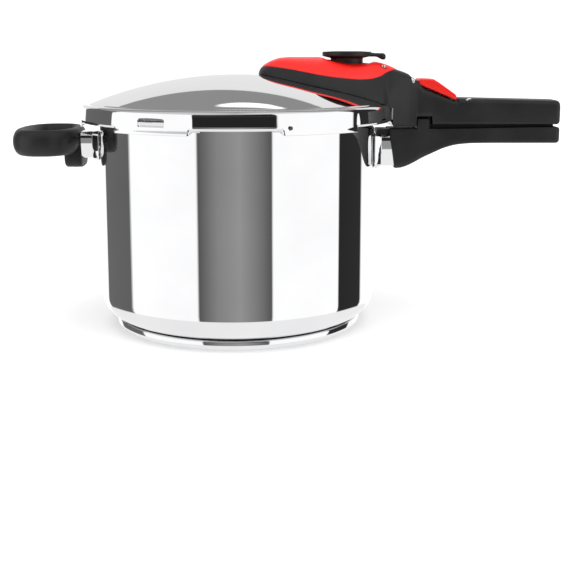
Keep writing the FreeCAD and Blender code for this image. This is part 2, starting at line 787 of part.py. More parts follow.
def safety_valve():
    """Body, nut, seal, spring and plunger of the safety valve under the cover."""
    flange_top = dome_z(safety_x + 9, lid_sheet) - 1.8
    flange_low = flange_top - 3
    nut_low = dome_z(safety_x - 8.5) + 0.3
    top = nut_low + 4
    bore = as_size(safety_bore) + fit
    body = ring("safety_valve_space", [
        (1.2, flange_low), (9, flange_low, 0.5), (9, flange_top), (safety_radius, flange_top),
        (safety_radius, top), (bore, top), (bore, flange_low + 1.5), (1.2, flange_low + 1.5),
    ])
    keep("safety_valve_body", place(body, x=safety_x))
    clasp = cut(nut(as_size(14.5), nut_low, nut_low + 3, safety_x),
                rod(safety_radius + 0.05, nut_low - 1, nut_low + 4, safety_x))
    keep("safety_valve_nut", clasp)
    seal = ring("safety_valve_seal_body", [
        (safety_radius + 0.05, flange_top + 0.05), (9, flange_top + 0.05),
        (9, flange_top + 1.5), (safety_radius + 0.05, flange_top + 1.5),
    ])
    keep("safety_valve_seal", place(seal, x=safety_x))
    low = flange_low + 1.6
    plunger = ring("safety_plunger_body", [
        (0, low), (0.6, low), (safety_bore, low + 1.6), (safety_bore, low + 5), (0, low + 5),
    ])
    keep("safety_plunger", place(plunger, x=safety_x))
    keep("safety_valve_spring", spring(safety_bore - 0.2, 0.35, low + 6.8, top - 0.3, 3, safety_x))


def pressure_indicator():
    """A pin that pressure lifts, with an arm to the small hole in the red cover."""
    seat = dome_z(root(flag_x * flag_x + flag_y * flag_y), lid_sheet)
    bush = cut(joined(rod(bush_radius, seat - 3.6, seat + 2.6, flag_x, flag_y),
                      rod(bush_radius + 1.2, seat - 3.6, seat - 2.4, flag_x, flag_y)),
               rod(2.0, seat - 5, seat + 5, flag_x, flag_y))
    keep("indicator_bush", bush)
    arm_low = dome_z(valve_x - 10) + 3
    pin = joined(
        rod(2.8, seat - 8.8, seat - 7.4, flag_x, flag_y),
        rod(1.6, seat - 7.6, arm_low + 2, flag_x, flag_y),
        box((flag_x - 1.6, flag_y - 1.6, arm_low), (flag_tip_x + 1.6, flag_y + 1.6, arm_low + 2.6)),
        rod(1.9, arm_low + 1, flag_top, flag_tip_x, flag_y),
    )
    keep("indicator_pin", pin)
    return arm_low


# ---------------------------------------------------------------- lid handle
bed_slope = 0.5
bed_start = lid_radius + 13.5
bed_end = bed_start + 37
bed_top = handle_split + 37.75
grip_top = handle_split + 25
cheek_end = bed_start + 5.5


def bed(x):
    """Height of the sloping bed that the lock slider rests on."""
    return bed_top - (x - bed_start) * bed_slope


# Stations of the housing along X: place beyond the lid skirt, half width on the dome, half
# width of the deck, height of the deck and height of the foot above the deck's level.
STATIONS = (
    (-107, 4, 2.5, 46, 41),
    (-95, 25, 19, 48.6, 38),
    (-79, 37.5, 28, 47.2, 34),
    (-59, 46, 33, 43.2, 28),
    (-37, 42.5, 32, 40.2, 24),
    (-21, 39, 30, 40, 18),
    (-5, 31, 24, 43, 14),
    (6, 23, 19, 46, 12),
    (16, 16.2, 15.5, 41.6, 10),
)
# Stations of the red cover: place beyond the lid skirt, half width, height of the top.
COVER = (
    (-102, 5, 50.4),
    (-91, 16, 55.6),
    (-77, 25, 56.3),
    (-58, 29, 56.1),
    (-41, 28, 52.8),
    (-23, 26.5, 51.6),
    (-11, 22.5, 51.6),
    (2, 12, 48.2),
)


def deck_height(x):
    """Height of the housing's deck between two of its stations, by straight lines."""
    for first, last in zip(STATIONS, STATIONS[1:]):
        if first[0] <= x <= last[0]:
            share = (x - first[0]) / (last[0] - first[0])
            return first[3] + share * (last[3] - first[3])
    return STATIONS[0][3]


def housing_sections(grow=0):
    """Sections of the housing over the dome, raised by an amount."""
    top = deck_level + grow
    return [(lid_radius + x, [
        (-foot, top + low), (foot, top + low), (deck, top + high, deck * 0.3),
        (-deck, top + high, deck * 0.3),
    ]) for x, foot, deck, high, low in STATIONS]


def lid_handle(arm_low):
    """Housing over the dome, neck and grip: one moulding with wells for the valves."""
    top = handle_split
    under = handle_split + handle_gap
    boat = new_body("lid_handle_boat")
    lofted(boat, housing_sections())
    grip = slab("lid_handle_grip", "XZ_Plane", [
        (lid_radius - 7, under - 0.6), (lid_radius + 25, under, 200),
        (handle_reach + 0.4, under + 1.6, 2),
        (handle_reach + 0.4, top + 22.6, 2.5), (bed_end, grip_top, 1), (bed_end, bed(bed_end)),
        (cheek_end, bed(cheek_end)), (cheek_end, top + 38.2, 1.5),
        (lid_radius + 16, top + 41.6, 6), (lid_radius + 6, top + 45.6, 8), (lid_radius - 7, top + 42),
    ], handle_width + 1)
    keep_out = new_body("lid_space")
    turned(keep_out, [
        (0, ledge_z - 60), (lid_radius + 1.9, ledge_z - 60), (lid_radius + 1.9, ledge_z - 3, 1),
        (lid_radius + 0.2, ledge_z - 1, 1), (lid_radius - 2, ledge_z + 0.2),
        (dome_edge + ledge_step, ledge_z + 0.2),
        (dome_edge, dome_z(dome_edge) + 0.2, 0, dome_radius + 0.2),
        (0, dome_z(as_size(0)) + 0.2),
    ])
    notch = sector("notch_space", tab_inner - 0.8, tab_outer + 2.4, under - 10,
                   top + tab_height + handle_gap, 40)
    track = slab("track_space", "XZ_Plane", [
        (bed_start, bed(bed_start)), (cheek_end + 1, bed(cheek_end + 1)),
        (cheek_end + 1, top + 60), (bed_start, top + 60),
    ], 25.2)
    keel_space = slab("keel_space", "XZ_Plane", [
        (keel_inner - 6, bed(keel_inner - 6) - 6.6), (keel_outer + 0.8, bed(keel_outer + 0.8) - 6.6),
        (keel_outer + 0.8, bed(keel_outer + 0.8) + 1), (keel_inner - 6, bed(keel_inner - 6) + 1),
    ], 6.8)
    pin_bore = rod(pin_radius + fit, under - 5, pin_top + 0.6, pin_x)
    wells = (
        rod(stem_radius + 0.4, ledge_z, knob_top, valve_x),
        rod(15, nut_seat(), knob_top, valve_x),
        rod(safety_radius + 0.4, ledge_z, knob_top, safety_x),
        rod(10.5, dome_z(safety_x - 8.5) + 0.2, knob_top, safety_x),
        rod(bush_radius + 0.6, ledge_z - 10, arm_low, flag_x, flag_y),
        rod(bolt_radius + 0.2, ledge_z, knob_top, bolt_x),
        box((flag_x - 2.6, flag_y - 2.6, arm_low - 0.6), (flag_tip_x + 2.6, flag_y + 2.6, knob_top)),
    )
    tongue_low = ledge_z - 8.6
    tongue = box((lid_radius - 5, -tongue_half - 0.3, tongue_low - 0.3),
                 (tongue_end + 0.4, tongue_half + 0.3, tongue_low + 3.3))
    plate_bed = box((plate_start - 0.2, -plate_half - 0.2, under - 5),
                    (plate_end + 0.2, plate_half + 0.2, plate_low + plate_depth + 0.1))
    lid_screw = (
        rod(screw_radius + 0.1, under - 5, tongue_low + 1, lid_screw_x),
        rod(4.4, under - 5, under + 3.2, lid_screw_x),
    )
    plate_screws = tuple(rod(1.5, plate_low, plate_low + 9, x) for x in plate_screw_x)
    body = cut(joined(boat, grip), keep_out, notch, track, keel_space, pin_bore, *wells, tongue,
               plate_bed, *lid_screw, *plate_screws)
    keep("lid_handle", body)


tongue_end = lid_radius + 16
lid_screw_x = lid_radius + 9.5
plate_start = lid_radius + 33
plate_end = plate_start + 56
plate_half = 12
plate_low = handle_split + handle_gap + 1.4
plate_depth = 1.8
plate_screw_x = (plate_start + 20, plate_start + 48)
keel_inner = lid_radius + 35
keel_outer = keel_inner + 8
pin_top = handle_split + 17


def handle_cover(arm_low):
    """The red cover over the housing's deck, open round the knob and the indicator."""
    top = deck_level
    body = new_body("handle_cover_body")
    lofted(body, [(lid_radius + x, [
        (-wide, top + deck_height(x) + 0.1), (wide, top + deck_height(x) + 0.1),
        (wide * 0.86, top + high, wide * 0.35), (-wide * 0.86, top + high, wide * 0.35),
    ]) for x, wide, high in COVER])
    # The housing's own deck, grown up by a hair, keeps the two mouldings apart.
    space = new_body("deck_space")
    lofted(space, housing_sections(0.1))
    openings = (
        rod(13.7, ledge_z, knob_top + 5, valve_x),
        rod(10.5, ledge_z, dome_z(safety_x - 8.5) + 6, safety_x),
        rod(2.4, arm_low, knob_top + 5, flag_tip_x, flag_y),
        box((flag_x - 2.6, flag_y - 2.6, arm_low - 2), (flag_tip_x + 2.6, flag_y + 2.6, arm_low + 7)),
    )
    keep("handle_cover", cut(body, space, *openings))


def lid_handle_fittings():
    """Bracket on the skirt, the screws and bolts, and the plate under the mechanism."""
    under = handle_split + handle_gap
    tongue_low = ledge_z - 8.6
    low = skirt_z + 4.5
    plate = sector("lid_bracket_plate", lid_radius + 0.05, lid_radius + 1.5, low, ledge_z - 4, 14)
    tongue = box((lid_radius + 0.8, -tongue_half, tongue_low), (tongue_end, tongue_half, tongue_low + 3))
    hole = rod(screw_radius + 0.05, tongue_low - 1, tongue_low + 4, lid_screw_x)
    keep("lid_handle_bracket", cut(joined(plate, tongue), hole))
    screw("lid_handle_screw", screw_radius, 3.9, under + 0.6, under + 3.1, tongue_low + 2.6, lid_screw_x)
    seat = dome_z(bolt_x + 5, lid_sheet) - 0.1
    screw("lid_handle_bolt", bolt_radius, 5, seat - 2.6, seat, deck_level + 46.5, bolt_x)
    body = slab("handle_plate_body", "XY_Plane", [
        (plate_start, -plate_half, 2), (plate_end, -plate_half, 2),
        (plate_end, plate_half, 2), (plate_start, plate_half, 2),
    ], plate_depth, shift=plate_low + plate_depth / 2)
    holes = [rod(pin_radius + 0.4, plate_low - 1, plate_low + 5, pin_x)]
    for x in plate_screw_x:
        holes.append(rod(1.4, plate_low - 1, plate_low + 5, x))
    keep("lid_handle_plate", cut(body, *holes))
    pair = []
    for x in plate_screw_x:
        pair.append(rod(2.6, plate_low - 1.1, plate_low - 0.05, x))
        pair.append(rod(1.35, plate_low - 0.1, plate_low + 8, x))
    keep("handle_plate_screws", joined(*pair))


def lock_slider():
    """The red slider on its sloping bed, with a nose, a wide thumb part and a keel."""
    gap = 0.35
    nose_start = lid_radius + 18
    wide_start = nose_start + 5.6
    end = nose_start + 31.3
    top = handle_split

    def above(x):
        return bed(x) + gap

    nose = slab("slider_nose", "XZ_Plane", [
        (nose_start, above(nose_start)), (wide_start + 3, above(wide_start + 3)),
        (wide_start + 3, top + 39.2), (nose_start, top + 39.2, 1),
    ], 24)
    wide = slab("slider_thumb", "XZ_Plane", [
        (wide_start, above(wide_start)), (end, above(end)), (end, top + 24.6, 1),
        (end - 2.2, top + 27.2, 2), (wide_start + 3.9, top + 39.4, 4), (wide_start, top + 39.2),
    ], handle_width - 1.6)
    keel = slab("slider_keel", "XZ_Plane", [
        (keel_inner, bed(keel_inner) - 6), (keel_outer, bed(keel_outer) - 6),
        (keel_outer, bed(keel_outer) + 2), (keel_inner, bed(keel_inner) + 2),
    ], 6)
    keep("lock_slider", joined(nose, wide, keel))
    under = handle_split + handle_gap
    pin = ring("lock_pin_body", [
        (0, under + 1), (pin_radius, under + 1, 0.6), (pin_radius, pin_top), (0, pin_top),
    ])
    keep("lock_pin", place(pin, x=pin_x))


# ---------------------------------------------------------------- assembly
def build():
    pot_shell()
    base_cap()
    base_core()
    long_handle_fittings()
    pot_handle()
    side_handle()
    lid_shell()
    lid_gasket()
    stop_stud()
    stem_top = regulator_valve()
    regulator_knob(stem_top)
    safety_valve()
    arm_low = pressure_indicator()
    lid_handle(arm_low)
    handle_cover(arm_low)
    lid_handle_fittings()
    lock_slider()


def check():
    """Stops with a message if any object failed or any sub-part is not a sound solid."""
    for thing in DOC.Objects:
        bad = [word for word in thing.State if word in ("Invalid", "Error")]
        if bad:
            raise RuntimeError(f"{thing.Name} ({thing.Label}): {bad}")
    for node in NODES:
        if node.Shape.isNull() or not node.Shape.isValid():
            raise RuntimeError(f"{node.Label}: not a sound shape")
        if not node.Shape.Solids:
            raise RuntimeError(f"{node.Label}: no solid")


def write():
    os.makedirs("parts", exist_ok=True)
    for node in NODES:
        node.Shape.exportStep(f"parts/{node.Label}.step")
        print(f"{node.Label}: {len(node.Shape.Solids)} solid, {node.Shape.Volume / 1000:.2f} cm3")


build()
DOC.recompute()
check()
write()
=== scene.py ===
import math

import bmesh
import bpy
import numpy as np
from bpy.props import FloatProperty, FloatVectorProperty, IntProperty, PointerProperty
from mathutils import Euler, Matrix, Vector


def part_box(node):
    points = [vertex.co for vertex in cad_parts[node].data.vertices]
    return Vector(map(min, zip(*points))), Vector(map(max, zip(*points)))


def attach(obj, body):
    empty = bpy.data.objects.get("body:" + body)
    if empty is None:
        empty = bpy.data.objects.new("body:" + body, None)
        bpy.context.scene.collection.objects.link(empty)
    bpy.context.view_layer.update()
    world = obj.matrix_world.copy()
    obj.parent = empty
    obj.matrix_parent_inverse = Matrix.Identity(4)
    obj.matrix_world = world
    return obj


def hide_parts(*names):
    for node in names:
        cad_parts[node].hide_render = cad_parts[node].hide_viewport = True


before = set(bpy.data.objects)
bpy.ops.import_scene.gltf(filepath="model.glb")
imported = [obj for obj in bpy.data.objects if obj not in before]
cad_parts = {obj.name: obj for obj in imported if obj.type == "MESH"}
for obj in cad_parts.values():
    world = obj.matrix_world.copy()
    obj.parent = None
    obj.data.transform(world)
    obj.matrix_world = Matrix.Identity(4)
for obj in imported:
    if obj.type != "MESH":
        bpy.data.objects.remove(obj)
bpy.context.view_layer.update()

bl_info = {
    "name": "Stovetop pressure cooker",
    "version": (1, 0, 0),
    "blender": (4, 5, 0),
    "location": "3D View > Sidebar > Cooker",
    "description": "Builds the visible surfaces of a stovetop pressure cooker around its packed frame",
    "category": "Add Mesh",
}

MM = 0.001


def corners(node):
    """Lowest and highest corner of a frame node, in millimetres."""
    low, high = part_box(node)
    return np.array(low) / MM, np.array(high) / MM


CAP_HIGH = corners("base_cap")[1]
POT_HIGH = corners("pot_shell")[1]
LID_LOW, LID_HIGH = corners("lid_shell")
LONG_HIGH = corners("pot_handle")[1]
GRIP_HIGH = corners("lid_handle")[1]
LOOP_LOW, LOOP_HIGH = corners("side_handle")
KNOB_LOW, KNOB_HIGH = corners("regulator_knob")
SLIDER_LOW, SLIDER_HIGH = corners("lock_slider")
STEM_LOW, STEM_HIGH = corners("valve_stem")
PIN_LOW, PIN_HIGH = corners("indicator_pin")
RIM_Z = POT_HIGH[2]
FLARE = 1.0
TAB_HEIGHT = 8.0
LID_GAP = 0.25
LID_RADIUS = LID_HIGH[0] - FLARE
DOME_TOP = LID_HIGH[2]
SKIRT_Z = LID_LOW[2]
KNOB_X = (STEM_LOW[0] + STEM_HIGH[0]) / 2
SPLIT = LONG_HIGH[2] - TAB_HEIGHT


# ---------------------------------------------------------------- sizes and colours
def length(words, default, name):
    return FloatProperty(name=name, description=words, default=default * MM, unit="LENGTH", precision=5)


def colour(words, default, name):
    return FloatVectorProperty(name=name, description=words, default=default, size=3, subtype="COLOR",
                               min=0.0, max=1.0)


class PotSizes(bpy.types.PropertyGroup):
    wall_radius: length("Outer radius of the pot wall", 111.0, "Wall radius")
    sheet: length("Thickness of the pot sheet", 1.0, "Sheet")
    corner: length("Outer radius between wall and bottom", 18.0, "Corner")
    lug_arc: FloatProperty(name="Lug arc", description="Arc of a pot lug", default=math.radians(24),
                           subtype="ANGLE")
    lugs: IntProperty(name="Lugs", description="Bayonet lugs round the rim", default=6, min=2)


class LidSizes(bpy.types.PropertyGroup):
    dome_radius: length("Radius of the dome's sphere", 323.0, "Dome radius")
    dome_edge: length("Radius where the dome meets the ledge", 118.0, "Dome edge")
    dome_rise: length("Height of the dome above the ledge", 23.2, "Dome rise")
    sheet: length("Thickness of the lid sheet", 1.2, "Sheet")
    lug_arc: FloatProperty(name="Lug arc", description="Arc of a folded lid lug", default=math.radians(29.6),
                           subtype="ANGLE")
    window_length: length("Length of the safety window", 22.5, "Window length")
    window_height: length("Height of the safety window", 6.0, "Window height")


class FinishColours(bpy.types.PropertyGroup):
    steel: colour("Polished steel", (0.86, 0.86, 0.87), "Steel")
    black: colour("Black moulding", (0.0095, 0.0095, 0.0102), "Black")
    red: colour("Red moulding", (0.76, 0.009, 0.005), "Red")
    mark: colour("Printed marks", (0.75, 0.75, 0.75), "Marks")


class StageSizes(bpy.types.PropertyGroup):
    camera_side: length("Camera to the right of the pot's axis", 41.0, "Camera side")
    camera_back: length("Camera in front of the pot's axis", 800.0, "Camera back")
    camera_height: length("Height of the camera", 220.0, "Camera height")
    camera_pitch: FloatProperty(name="Pitch", description="Downward tilt of the camera",
                                default=math.radians(8.5), subtype="ANGLE")
    lens: FloatProperty(name="Lens", description="Focal length in millimetres", default=61.3)


# ---------------------------------------------------------------- curves and grids
def smooth(t):
    """Eases from 0 to 1: three times t squared less twice t cubed, with t held in 0 to 1."""
    t = np.clip(t, 0.0, 1.0)
    return t * t * (3 - 2 * t)


def bulge(value, power):
    """The value raised to a power with its sign kept, as in the formula of a superellipse."""
    return np.sign(value) * np.abs(value) ** power


def flow(x, knots):
    """A monotone cubic through the knots (x, value): each knot's slope is the harmonic mean
    of its neighbours' slopes, or zero where they differ in sign, so it never overshoots."""
    at = np.array([knot[0] for knot in knots], float)
    value = np.array([knot[1] for knot in knots], float)
    run = np.diff(at)
    slope = np.diff(value) / run
    both = slope[1:] * slope[:-1]
    mean = np.where(both > 0, 2 * both / np.where(both > 0, slope[1:] + slope[:-1], 1), 0)
    tangent = np.concatenate([[slope[0]], mean, [slope[-1]]])
    x = np.clip(np.asarray(x, float), at[0], at[-1])
    k = np.clip(np.searchsorted(at, x, side="right") - 1, 0, len(run) - 1)
    t = (x - at[k]) / run[k]
    h = run[k]
    return (value[k] * (1 + 2 * t) * (1 - t) ** 2 + h * tangent[k] * t * (1 - t) ** 2
            + value[k + 1] * t * t * (3 - 2 * t) + h * tangent[k + 1] * t * t * (t - 1))


def rounded(points, steps):
    """Closed outline through corners (a, b, radius): each corner becomes an arc tangent to
    both of its sides, centred where lines offset by the radius meet."""
    result = []
    rows = np.array([(p + (0.0,))[:3] for p in points], float)
    for number, (a, b, radius) in enumerate(rows):
        here = np.array([a, b])
        before = rows[number - 1][:2] - here
        after = rows[(number + 1) % len(rows)][:2] - here
        before = before / np.linalg.norm(before)
        after = after / np.linalg.norm(after)
        if radius <= 0:
            result.append(here[None])
            continue
        half = math.acos(np.clip(before @ after, -1, 1)) / 2
        middle = (before + after) / np.linalg.norm(before + after)
        centre = here + middle * radius / math.sin(half)
        first = here + before * radius / math.tan(half) - centre
        last = here + after * radius / math.tan(half) - centre
        t = np.linspace(0, 1, steps)[:, None]
        swing = math.pi - 2 * half
        arc = (np.sin((1 - t) * swing) * first + np.sin(t * swing) * last) / math.sin(swing)
        result.append(centre + arc)
    return np.concatenate(result)


def path(*parts):
    """Joins runs of (radius, height) points into one profile, dropping repeated ends."""
    whole = np.concatenate([np.atleast_2d(part) for part in parts])
    step = np.linalg.norm(np.diff(whole, axis=0), axis=1)
    return whole[np.concatenate([[True], step > 1e-6])]


def arc(centre_a, centre_b, radius, first, last, steps):
    """Points of an arc from one angle to another, in degrees from the first axis."""
    angle = np.radians(np.linspace(first, last, steps))
    return np.stack([centre_a + radius * np.cos(angle), centre_b + radius * np.sin(angle)], 1)


def spin(profile, angles, centre=(0.0, 0.0)):
    """Turns a profile about an upright axis: x and y are the radius times the cosine and sine
    of the angle. The profile is (n, 2), or (n, angles, 2) where it changes with the angle."""
    profile = np.asarray(profile, float)
    if profile.ndim == 2:
        profile = np.repeat(profile[:, None], len(angles), 1)
    radius, height = profile[..., 0], profile[..., 1]
    return np.stack([centre[0] + radius * np.cos(angles), centre[1] + radius * np.sin(angles), height], 2)


def full_turn(count):
    return np.linspace(0, 2 * math.pi, count, endpoint=False)


def grid_faces(rows, columns, wrap_rows, wrap_columns, start, drop=None):
    """Four corners of each cell of a grid whose points are numbered row by row."""
    i = np.arange(rows if wrap_rows else rows - 1)
    j = np.arange(columns if wrap_columns else columns - 1)
    i, j = [side.ravel() for side in np.meshgrid(i, j, indexing="ij")]
    if drop is not None:
        kept = ~drop[i, j]
        i, j = i[kept], j[kept]
    k, l = (i + 1) % rows, (j + 1) % columns
    cells = np.stack([i * columns + j, i * columns + l, k * columns + l, k * columns + j], 1)
    return cells + start


class Part:
    """Collects grids in millimetres and turns them into one closed mesh piece."""

    def __init__(self, name):
        self.name = name
        self.points = []
        self.faces = []
        self.count = 0

    def grid(self, points, wrap_rows=False, wrap_columns=False, drop=None):
        """Adds a surface given on a grid of rows and columns; returns its first number."""
        points = np.asarray(points, float)
        rows, columns = points.shape[:2]
        start = self.count
        self.points.append(points.reshape(-1, 3))
        self.faces += grid_faces(rows, columns, wrap_rows, wrap_columns, start, drop).tolist()
        self.count += rows * columns
        return start

    def tube(self, points):
        """Adds a surface of closed rings, with its first and last ring filled."""
        start = self.grid(points, wrap_columns=True)
        columns = points.shape[1]
        last = start + (points.shape[0] - 1) * columns
        self.faces.append(list(range(start, start + columns)))
        self.faces.append(list(range(last, last + columns)))

    def finish(self, body, slot, material, stands_for=(), sharp=32.0):
        """Makes the mesh: merges doubles, turns faces outwards, smooths all but sharp edges."""
        mesh = bpy.data.meshes.new(self.name)
        mesh.from_pydata((np.concatenate(self.points) * MM).tolist(), [], self.faces)
        edit = bmesh.new()
        edit.from_mesh(mesh)
        bmesh.ops.remove_doubles(edit, verts=edit.verts, dist=2e-6)
        bmesh.ops.recalc_face_normals(edit, faces=edit.faces)
        edit.to_mesh(mesh)
        edit.free()
        mesh.polygons.foreach_set("use_smooth", np.ones(len(mesh.polygons), bool))
        mesh.set_sharp_from_angle(angle=math.radians(sharp))
        piece = bpy.data.objects.new(self.name, mesh)
        bpy.context.scene.collection.objects.link(piece)
        mesh.materials.append(material)
        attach(piece, body)
        if stands_for:
            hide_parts(*stands_for)
        return piece


def slab(part, outline, low, high):
    """Carries an upright outline (x, z) straight across, from y = low to y = high."""
    outline = np.asarray(outline, float)
    rings = np.zeros((2, len(outline), 3))
    rings[..., 0] = outline[:, 0]
    rings[..., 2] = outline[:, 1]
    rings[..., 1] = np.array([low, high], float)[:, None]
    part.tube(rings)


# ---------------------------------------------------------------- finishes
def maths_node(nodes, links, operation, *values):
    """A Math node over values that are plain numbers or the outputs of other nodes."""
    node = nodes.new("ShaderNodeMath")
    node.operation = operation
    for number, value in enumerate(values):
        if isinstance(value, (int, float)):
            node.inputs[number].default_value = value
        else:
            links.new(value, node.inputs[number])
    return node.outputs["Value"]


class Finish:
    """A procedural material: one Principled shader with chains of noise on Object coordinates."""

    def __init__(self, name):
        self.material = bpy.data.materials.new("finish_" + name)
        self.material.use_nodes = True
        self.nodes = self.material.node_tree.nodes
        self.links = self.material.node_tree.links
        self.shader = self.nodes["Principled BSDF"]
        self.place = self.nodes.new("ShaderNodeTexCoord").outputs["Object"]

    def set(self, **values):
        for name, value in values.items():
            self.shader.inputs[name.replace("_", " ")].default_value = value
        return self

    def stretched(self, scale):
        mapping = self.nodes.new("ShaderNodeMapping")
        mapping.inputs["Scale"].default_value = scale
        self.links.new(self.place, mapping.inputs["Vector"])
        return mapping.outputs["Vector"]

    def polar(self, turns, rings, levels):
        """Coordinates that follow a turned part: its angle, radius and height, each scaled."""
        split = self.nodes.new("ShaderNodeSeparateXYZ")
        self.links.new(self.place, split.inputs["Vector"])
        x, y, z = split.outputs
        squares = self.maths("ADD", self.maths("MULTIPLY", x, x), self.maths("MULTIPLY", y, y))
        radius = self.maths("SQRT", squares)
        angle = self.maths("ARCTAN2", y, x)
        join = self.nodes.new("ShaderNodeCombineXYZ")
        for number, (output, scale) in enumerate(((angle, turns), (radius, rings), (z, levels))):
            self.links.new(self.maths("MULTIPLY", output, scale), join.inputs[number])
        return join.outputs["Vector"]

    def maths(self, operation, *values):
        return maths_node(self.nodes, self.links, operation, *values)

    def blend(self, first, first_share, second, second_share):
        """Sum of two values, each times its share."""
        first = self.maths("MULTIPLY", first, first_share)
        return self.maths("ADD", first, self.maths("MULTIPLY", second, second_share))

    def noise(self, vector, scale, detail, roughness=0.55):
        node = self.nodes.new("ShaderNodeTexNoise")
        node.inputs["Scale"].default_value = scale
        node.inputs["Detail"].default_value = detail
        node.inputs["Roughness"].default_value = roughness
        self.links.new(vector, node.inputs["Vector"])
        return node.outputs["Fac"]

    def span(self, value, low, high, first=0.3, last=0.7):
        node = self.nodes.new("ShaderNodeMapRange")
        for name, number in (("From Min", first), ("From Max", last), ("To Min", low), ("To Max", high)):
            node.inputs[name].default_value = number
        self.links.new(value, node.inputs["Value"])
        return node.outputs["Result"]

    def tint(self, value, dark, light):
        """Base colour that goes from the dark to the light shade over the middle of the value."""
        node = self.nodes.new("ShaderNodeValToRGB")
        for element, at, tone in zip(node.color_ramp.elements, (0.3, 0.7), (dark, light)):
            element.position = at
            element.color = (*tone, 1.0)
        self.links.new(value, node.inputs["Fac"])
        self.links.new(node.outputs["Color"], self.shader.inputs["Base Color"])

    def rough(self, value, low, high):
        self.links.new(self.span(value, low, high), self.shader.inputs["Roughness"])

    def bump(self, *layers):
        """Relief of one or more (height, depth in metres) layers, one on another."""
        previous = None
        for height, depth in layers:
            node = self.nodes.new("ShaderNodeBump")
            node.inputs["Strength"].default_value = 1.0
            node.inputs["Distance"].default_value = depth
            self.links.new(height, node.inputs["Height"])
            if previous is not None:
                self.links.new(previous, node.inputs["Normal"])
            previous = node.outputs["Normal"]
        self.links.new(previous, self.shader.inputs["Normal"])


def shade(colour_value, share):
    return tuple(min(1.0, channel * share) for channel in colour_value)


def polished_steel():
    """Mirror-polished sheet: faint rings of the buffing wheel, haze and soft waves."""
    tone = tuple(bpy.context.scene.cooker_colours.steel)
    finish = Finish("polished_steel").set(Metallic=1.0)
    lines = finish.noise(finish.polar(3.0, 900.0, 900.0), 1.0, 4.0, 0.6)
    haze = finish.noise(finish.place, 18.0, 3.0)
    finish.tint(haze, shade(tone, 0.97), shade(tone, 1.03))
    finish.rough(finish.blend(lines, 0.5, haze, 0.5), 0.012, 0.034)
    wave = finish.noise(finish.place, 9.0, 1.0)
    finish.bump((lines, 0.0000008), (wave, 0.00005))
    return finish.material


def brushed_steel():
    """Ground sheet, as inside the pot: fine rings with clear roughness."""
    tone = tuple(bpy.context.scene.cooker_colours.steel)
    finish = Finish("brushed_steel").set(Metallic=1.0)
    lines = finish.noise(finish.polar(2.0, 2600.0, 2600.0), 1.0, 5.0, 0.7)
    finish.tint(lines, shade(tone, 0.82), shade(tone, 1.0))
    finish.rough(lines, 0.22, 0.38)
    finish.bump((lines, 0.000006))
    return finish.material


def turned_steel():
    """Small machined fittings: tight turning marks and a satin surface."""
    tone = tuple(bpy.context.scene.cooker_colours.steel)
    finish = Finish("turned_steel").set(Metallic=1.0)
    lines = finish.noise(finish.stretched((900.0, 900.0, 5200.0)), 1.0, 3.0)
    finish.tint(lines, shade(tone, 0.7), shade(tone, 0.92))
    finish.rough(lines, 0.2, 0.34)
    finish.bump((lines, 0.000004))
    return finish.material


def painted_shade_steel():
    """Steel of the stop stud made dark as painted shade, with a faint turning pattern."""
    finish = Finish("painted_shade_steel").set(Metallic=1.0)
    lines = finish.noise(finish.stretched((1500.0, 1500.0, 1500.0)), 1.0, 3.0)
    finish.tint(lines, (0.05, 0.05, 0.055), (0.1, 0.1, 0.105))
    finish.rough(lines, 0.2, 0.3)
    finish.bump((lines, 0.000004))
    return finish.material


def black_moulding():
    """Phenolic handle: fine spark-eroded grain, slight cloud in the colour, worn sheen."""
    tone = tuple(bpy.context.scene.cooker_colours.black)
    finish = Finish("black_moulding").set(Specular_IOR_Level=0.42)
    cloud = finish.noise(finish.place, 38.0, 4.0)
    grain = finish.noise(finish.place, 1500.0, 2.0, 0.6)
    pits = finish.noise(finish.place, 420.0, 2.0)
    finish.tint(cloud, shade(tone, 0.75), shade(tone, 1.45))
    finish.rough(finish.blend(cloud, 0.6, grain, 0.4), 0.38, 0.54)
    finish.bump((grain, 0.000028), (pits, 0.00003))
    return finish.material


def red_moulding():
    """Red cover: satin thermoplastic with a faint orange-peel surface."""
    tone = tuple(bpy.context.scene.cooker_colours.red)
    finish = Finish("red_moulding").set(Specular_IOR_Level=0.45)
    cloud = finish.noise(finish.place, 30.0, 3.0)
    peel = finish.noise(finish.place, 520.0, 2.0)
    finish.tint(cloud, shade(tone, 0.9), shade(tone, 1.08))
    finish.rough(peel, 0.3, 0.42)
    finish.bump((peel, 0.000018))
    return finish.material


def silicone():
    """Grey seal rubber: matt with a dusty bloom."""
    finish = Finish("silicone").set(Specular_IOR_Level=0.3)
    bloom = finish.noise(finish.place, 160.0, 4.0)
    finish.tint(bloom, (0.16, 0.16, 0.165), (0.26, 0.26, 0.265))
    finish.rough(bloom, 0.6, 0.8)
    finish.bump((bloom, 0.00004))
    return finish.material


def aluminium():
    """Rolled aluminium of the base core, seen as a line round the base."""
    finish = Finish("aluminium").set(Metallic=1.0)
    grain = finish.noise(finish.polar(6.0, 700.0, 2400.0), 1.0, 4.0)
    finish.tint(grain, (0.5, 0.5, 0.51), (0.68, 0.68, 0.69))
    finish.rough(grain, 0.3, 0.5)
    finish.bump((grain, 0.000008))
    return finish.material


def printed_mark():
    """White pad-printed ink, slightly thin in places."""
    tone = tuple(bpy.context.scene.cooker_colours.mark)
    finish = Finish("printed_mark").set(Specular_IOR_Level=0.3)
    ink = finish.noise(finish.place, 900.0, 3.0)
    finish.tint(ink, shade(tone, 0.8), shade(tone, 1.0))
    finish.rough(ink, 0.45, 0.6)
    return finish.material


